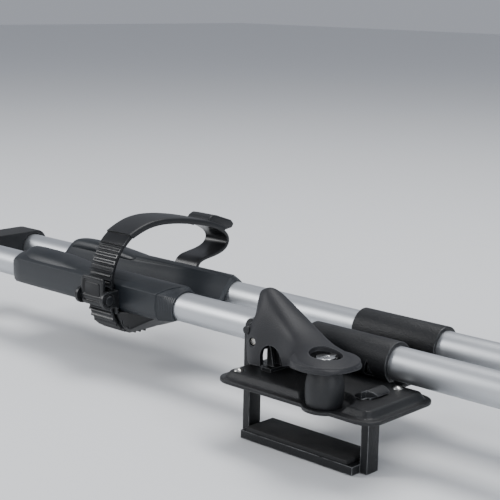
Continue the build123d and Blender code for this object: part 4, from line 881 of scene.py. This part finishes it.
TOOTH_PROFILES = (
    ((-1.1, 0.8), (-1.0, 1.9), (-0.4, 2.55), (0.9, 1.5), (1.1, 0.8)),
    ((-0.8, 0.8), (-0.7, 1.45), (-0.3, 1.75), (0.5, 1.4), (0.7, 0.8)),
)
TOOTH_HALVES = (11.45, 9.8)
SLEEVE_FROM = 12
SLEEVE_TO = 20


def smooth_line(points):
    """Points along a smooth curve through the middle of the strap, evenly close together."""
    curve = bpy.data.curves.new("strap_line", "CURVE")
    curve.dimensions = "3D"
    curve.resolution_u = LINE_STEPS
    spline = curve.splines.new("NURBS")
    spline.points.add(len(points) - 1)
    for spot, (y, z) in zip(spline.points, points):
        spot.co = (0, y, z, 1)
    spline.order_u = 3
    spline.use_endpoint_u = True
    holder = bpy.data.objects.new("strap_line", curve)
    bpy.context.scene.collection.objects.link(holder)
    bpy.context.view_layer.update()
    mesh = bpy.data.meshes.new_from_object(holder)
    line = [vertex.co.copy() for vertex in mesh.vertices]
    bpy.data.objects.remove(holder)
    bpy.data.meshes.remove(mesh)
    return line


def along_and_out(line, number):
    """The line's direction at a point, and the direction out of the loop there."""
    before, after = line[max(number - 1, 0)], line[min(number + 1, len(line) - 1)]
    along = (after - before).normalized()
    return along, Vector((0, -along.z, along.y))


def strap_band(line, section, widen=0.0):
    """A sheet along the line. The section gives each row's points: how far along X, and how far out."""
    rows = []
    for number, spot in enumerate(line):
        out = along_and_out(line, number)[1]
        wider = 1 + widen * min(1.0, number / (0.7 * len(line)))
        rows.append([(STRAP_X + x * wider, *(spot + out * rise).yz) for x, rise in section])
    return shaped_sheet(rows, 1)


def one_mesh(first, *others):
    """Keeps pieces that touch as one object, each of them closed."""
    bpy.ops.object.select_all(action="DESELECT")
    for piece in (first, *others):
        piece.select_set(True)
    bpy.context.view_layer.objects.active = first
    bpy.ops.object.join()
    return first


def wheel_strap():
    """The ratchet strap: a flat band with saw teeth outside as far as the sleeve, and a smooth collar."""
    line = smooth_line(STRAP_LINE)
    strap = strap_band(line, BAND_SECTION)
    apply_modifier(strap, "SOLIDIFY", thickness=STRAP_T, offset=0, use_even_offset=True)
    face_outwards(strap)
    bevel(strap, 0.45, 2, 50)
    run, due, pieces = 0.0, TOOTH_STARTS, []
    for number in range(1, len(line)):
        step = (line[number] - line[number - 1]).length
        while run + step >= due and due <= TOOTH_ENDS:
            along, out = along_and_out(line, number)
            spot = line[number - 1].lerp(line[number], (due - run) / step)
            kind = len(pieces) % 2
            outline = [tuple((spot + along * a + out * b).yz) for a, b in TOOTH_PROFILES[kind]]
            half = TOOTH_HALVES[kind]
            pieces.append(prism(outline, 0, STRAP_X - half, STRAP_X + half))
            due += TOOTH_PITCH
        run += step
    collar = [spot for spot in line if COLLAR_Y[0] < spot.y < COLLAR_Y[1] and spot.z > COLLAR_OVER_Z]
    face = strap_band(collar, COLLAR_SECTION)
    apply_modifier(face, "SOLIDIFY", thickness=1.0, offset=-1, use_even_offset=True)
    pieces.append(face_outwards(face))
    return one_mesh(strap, *pieces)


def rim_sleeve():
    """The smooth guard sleeve, wider towards the thick finger tab at its far end."""
    sleeve = strap_band(smooth_line(STRAP_LINE[SLEEVE_FROM:SLEEVE_TO]), SLEEVE_SECTION, SLEEVE_WIDENS)
    apply_modifier(sleeve, "SOLIDIFY", thickness=1.5, offset=-1, use_even_offset=True)
    face_outwards(sleeve)
    bevel(sleeve, 0.35, 2, 50)
    tab = prism(TAB_OUTLINE, 0, STRAP_X - TAB_HALF, STRAP_X + TAB_HALF)
    bevel(tab, 1.3, 4)
    return one_mesh(sleeve, tab)


PAD_LOW, PAD_HIGH = (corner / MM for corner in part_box("rear_buckle_lever"))
PIN_MIDDLE = sum(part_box("rear_buckle_pin"), Vector()) / 2 / MM
RATCHET_PIN = (PIN_MIDDLE.y, PIN_MIDDLE.z)
PIN_HOLE_R = 1.65
PAD_FOOT = 5.0
PAD_HUB_R = 3.0
CHEEK_R = 6.0
CHEEK_T = 2.6
CHEEK_GROOVE_R = (3.6, 4.9)


def rounded_plate(x0, x1, z0, z1, radius, near, far):
    """A plate in X and Z with round corners, between two places in Y."""
    corners = []
    for x, z, start in ((x1 - radius, z1 - radius, 0), (x0 + radius, z1 - radius, 90),
                        (x0 + radius, z0 + radius, 180), (x1 - radius, z0 + radius, 270)):
        for turn in range(0, 91, 15):
            angle = math.radians(start + turn)
            corners.append((x + radius * math.cos(angle), z + radius * math.sin(angle)))
    return prism(corners, 1, near, far)


def pad_layer(inset, radius, near, far, edge):
    """A plate of the finger pad's outline, drawn in by inset."""
    low_z = RATCHET_PIN[1] - PAD_FOOT + inset
    plate = rounded_plate(PAD_LOW.x + inset, PAD_HIGH.x - inset, low_z, PAD_HIGH.z - inset, radius,
                          PAD_LOW.y + near, PAD_LOW.y + far)
    return bevel(plate, edge, 3)


def buckle_pad():
    """The finger pad of the ratchet: a dished plate with a raised rim, on a hub round the pin."""
    pad = pad_layer(0, 4.2, 0, 3.0, 0.9)
    cut(pad, pad_layer(2.2, 3.0, -2, 1.0, 0.9))
    join(pad, pad_layer(4.2, 2.0, 0.4, 1.6, 0.6))
    join(pad, rod(0, PAD_LOW.x, PAD_HIGH.x, RATCHET_PIN, PAD_HUB_R, 40))
    return cut(pad, rod(0, PAD_LOW.x - 2, PAD_HIGH.x + 2, RATCHET_PIN, PIN_HOLE_R, 32))


def buckle_base():
    """The ratchet's base: a back plate and two round cheeks with a raised ring each."""
    low, high = (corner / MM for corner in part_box("rear_buckle_frame"))
    pin_y, pin_z = RATCHET_PIN
    base = block((low.x, high.y - 1.6, low.z), (high.x, high.y, high.z))
    bevel(base, 0.5, 2)
    for x0, x1, rim_x in ((low.x, low.x + CHEEK_T, low.x), (high.x - CHEEK_T, high.x, high.x)):
        cheek = rod(0, x0, x1, RATCHET_PIN, CHEEK_R, 56)
        join(cheek, block((x0, pin_y, pin_z - CHEEK_R), (x1, high.y, pin_z + 5.6)))
        bevel(cheek, 0.7, 3)
        groove = rod(0, rim_x - 0.6, rim_x + 0.6, RATCHET_PIN, CHEEK_GROOVE_R[1], 56)
        cut(groove, rod(0, rim_x - 2, rim_x + 2, RATCHET_PIN, CHEEK_GROOVE_R[0], 56))
        cut(cheek, groove)
        join(base, cheek)
    return cut(base, rod(0, low.x - 2, high.x + 2, RATCHET_PIN, PIN_HOLE_R, 32))


for make, piece, body, slot_name, node, smooth in (
        (wheel_tray, "tyre_tray", "holder", "tray_plastic", "wheel_tray", 32),
        (under_clamp, "belly_clamp", "holder", "buckle_plastic", "under_clamp", 45),
        (wheel_strap, "ratchet_strap", "holder", "strap_plastic", "wheel_strap", 40),
        (rim_sleeve, "rim_sleeve", "holder", "sleeve_rubber", "rim_protector", 50),
        (buckle_pad, "ratchet_pad", "buckle", "buckle_plastic", "buckle_lever", 45),
        (buckle_base, "ratchet_base", "holder", "buckle_plastic", "buckle_frame", 45)):
    settle_pair(make(), piece, body, slot_name, node, mirrored=True, smooth=smooth)
for copied, piece, slot_name, width in (
        ("tray_screws", "tray_bolts", "zinc_steel", 0.4),
        ("anchor_screws", "strap_bolts", "zinc_steel", 0.4),
        ("buckle_pin", "ratchet_pin", "dark_steel", 0.3)):
    settle_pair(softened_copy(f"rear_{copied}", width, 2), piece, "holder", slot_name, copied,
                mirrored=True, smooth=35)


# Arm, claw and knob

KNOB_LOW, KNOB_HIGH = (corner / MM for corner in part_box("clamp_knob"))
KNOB_MIDDLE = ((KNOB_LOW.x + KNOB_HIGH.x) / 2, (KNOB_LOW.z + KNOB_HIGH.z) / 2)
KNOB_R = (KNOB_HIGH.z - KNOB_LOW.z) / 2
KNOB_LOBES = 6
KNOB_POINTS = 144
LOBE_SHARPNESS = 1.5
# Distance from the knob's inner face, share of its radius, and the depth between its lobes there
KNOB_PROFILE = ((0.0, 0.50, 0.0), (0.8, 0.54, 0.0), (4.0, 0.58, 0.2), (7.5, 0.70, 0.9), (10.5, 0.88, 2.2),
                (13.0, 0.97, 2.9), (16.0, 1.0, 3.1), (21.5, 1.0, 3.1), (24.2, 0.97, 3.0), (25.6, 0.91, 2.6),
                (26.0, 0.84, 2.0), (25.6, 0.74, 1.2), (24.4, 0.60, 0.4), (24.0, 0.45, 0.0))
KNOB_BORE_R = 5.1
KNOB_BORE_DEPTH = 9.0
SCREW_LOW, SCREW_HIGH = (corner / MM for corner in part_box("clamp_screw"))
SCREW_R = (SCREW_HIGH.z - SCREW_LOW.z) / 2
THREAD_PITCH = 1.5
THREAD_DEPTH = 0.45
THREAD_STEPS = 4
THREAD_SIDES = 28


def hand_knob():
    """The knob: a collar that spreads into six soft lobes, and a dished face round the key core."""
    rows = []
    for step, share, depth in KNOB_PROFILE:
        def lobed(angle):
            return KNOB_R * share - depth * (0.5 + 0.5 * math.cos(KNOB_LOBES * angle)) ** LOBE_SHARPNESS
        rows.append(ring(KNOB_LOW.y + step, KNOB_MIDDLE, lobed, KNOB_POINTS, 1))
    knob = closed_rows(rows)
    cut(knob, rod(1, KNOB_HIGH.y - KNOB_BORE_DEPTH, KNOB_HIGH.y + 2, KNOB_MIDDLE, KNOB_BORE_R, 48))
    return bevel(knob, 0.4, 2, 50)


def threaded_screw():
    """The clamp screw, with its thread as one helix."""
    rows = []
    length = SCREW_HIGH.y - SCREW_LOW.y
    count = int(length / THREAD_PITCH * THREAD_STEPS)
    for number in range(count + 1):
        turns = number / THREAD_STEPS
        end = min(number, count - number, THREAD_STEPS) / THREAD_STEPS

        def threaded(angle):
            phase = (turns + angle / (2 * math.pi)) % 1
            return SCREW_R - THREAD_DEPTH * (2 - end - abs(2 * phase - 1))
        rows.append(ring(SCREW_LOW.y + length * number / count, KNOB_MIDDLE, threaded, THREAD_SIDES, 1))
    return closed_rows(rows)


settle(hand_knob(), "hand_knob", "knob", "knob_plastic", "clamp_knob", smooth=40)
settle(threaded_screw(), "threaded_screw", "knob", "zinc_steel", "clamp_screw", smooth=60)
for copied, piece, body, slot_name, width in (
        ("knob_core", "knob_key", "knob_key", "lock_silver", 0.35),
        ("arm_base", "moulded_arm_foot", "root", "black_plastic", 1.2),
        ("arm_bolt", "fold_bolt", "root", "zinc_steel", 0.5),
        ("arm_tube", "round_arm", "arm", "tube_silver", 0.5),
        ("claw_body", "claw_block", "arm", "black_plastic", 1.6),
        ("claw_pad", "fixed_pad", "arm", "black_rubber", 0.8),
        ("claw_jaw", "sliding_jaw", "jaw", "black_plastic", 1.4),
        ("jaw_pad", "moving_pad", "jaw", "black_rubber", 0.8),
        ("rear_end_cap", "rear_tube_cap", "root", "black_plastic", 1.0),
        ("front_end_cap", "front_tube_cap", "root", "black_plastic", 1.0)):
    settle(softened_copy(copied, width), piece, body, slot_name, copied, smooth=35)


# Floor, light and camera

FLOOR_GAP = 0.0005
FLOOR_HALF = 7.0
BACKDROP_TONE = (0.80, 0.81, 0.82)
SKY_TONE = (0.86, 0.90, 1.0)
SKY_STRENGTH = 0.42
SIDE_TONE = (0.93, 0.96, 1.0)


def make_floor():
    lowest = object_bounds()[0].z - FLOOR_GAP
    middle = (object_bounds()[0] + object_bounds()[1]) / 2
    bpy.ops.mesh.primitive_plane_add(size=2 * FLOOR_HALF, location=(middle.x, middle.y, lowest))
    floor = bpy.context.object
    floor.name = "studio_floor"
    material, _, shader = new_material("studio_floor", BACKDROP_TONE)
    shader.inputs["Base Color"].default_value = (*BACKDROP_TONE, 1)
    shader.inputs["Roughness"].default_value = 0.85
    floor.data.materials.append(material)


def add_panel(name, place, target, width, height, power, tone=(1, 1, 1)):
    light = bpy.data.lights.new(name, "AREA")
    light.shape = "RECTANGLE"
    light.size, light.size_y = width, height
    light.energy = power
    light.color = tone
    lamp = bpy.data.objects.new(name, light)
    bpy.context.scene.collection.objects.link(lamp)
    lamp.location = place
    lamp.rotation_mode = "QUATERNION"
    lamp.rotation_quaternion = (Vector(target) - Vector(place)).to_track_quat("-Z", "Y")
    return lamp


def make_light():
    world = bpy.data.worlds.new("studio")
    bpy.context.scene.world = world
    world.use_nodes = True
    sky = world.node_tree.nodes["Background"]
    sky.inputs["Color"].default_value = (*SKY_TONE, 1)
    sky.inputs["Strength"].default_value = SKY_STRENGTH
    foot = (0.0, 0.0, 0.02)
    add_panel("overhead", (0.1, 0.45, 1.9), foot, 1.6, 0.8, 30.0)
    add_panel("left", (-1.3, -1.1, 0.9), foot, 0.5, 0.8, 16.0)
    add_panel("front", (0.5, -1.7, 0.55), foot, 1.2, 0.35, 9.0)
    add_panel("side", (1.6, -0.3, 0.7), foot, 0.4, 0.9, 12.0, SIDE_TONE)


def make_camera():
    camera = bpy.data.cameras.new("photograph")
    camera.sensor_width = CAMERA_SENSOR
    camera.lens = CAMERA_LENS
    camera.shift_x = CAMERA_SHIFT_X
    camera.shift_y = CAMERA_SHIFT_Y
    camera.clip_start = CLIP_NEAR
    camera.clip_end = CLIP_FAR
    holder = bpy.data.objects.new("photograph", camera)
    bpy.context.scene.collection.objects.link(holder)
    back = CAMERA_RIGHT.cross(CAMERA_UP).normalized()
    turn = Matrix((CAMERA_RIGHT.normalized(), back.cross(CAMERA_RIGHT).normalized(), back)).transposed()
    holder.matrix_world = Matrix.Translation(CAMERA_PLACE) @ turn.to_4x4()
    bpy.context.scene.camera = holder


make_camera()
make_light()
make_floor()
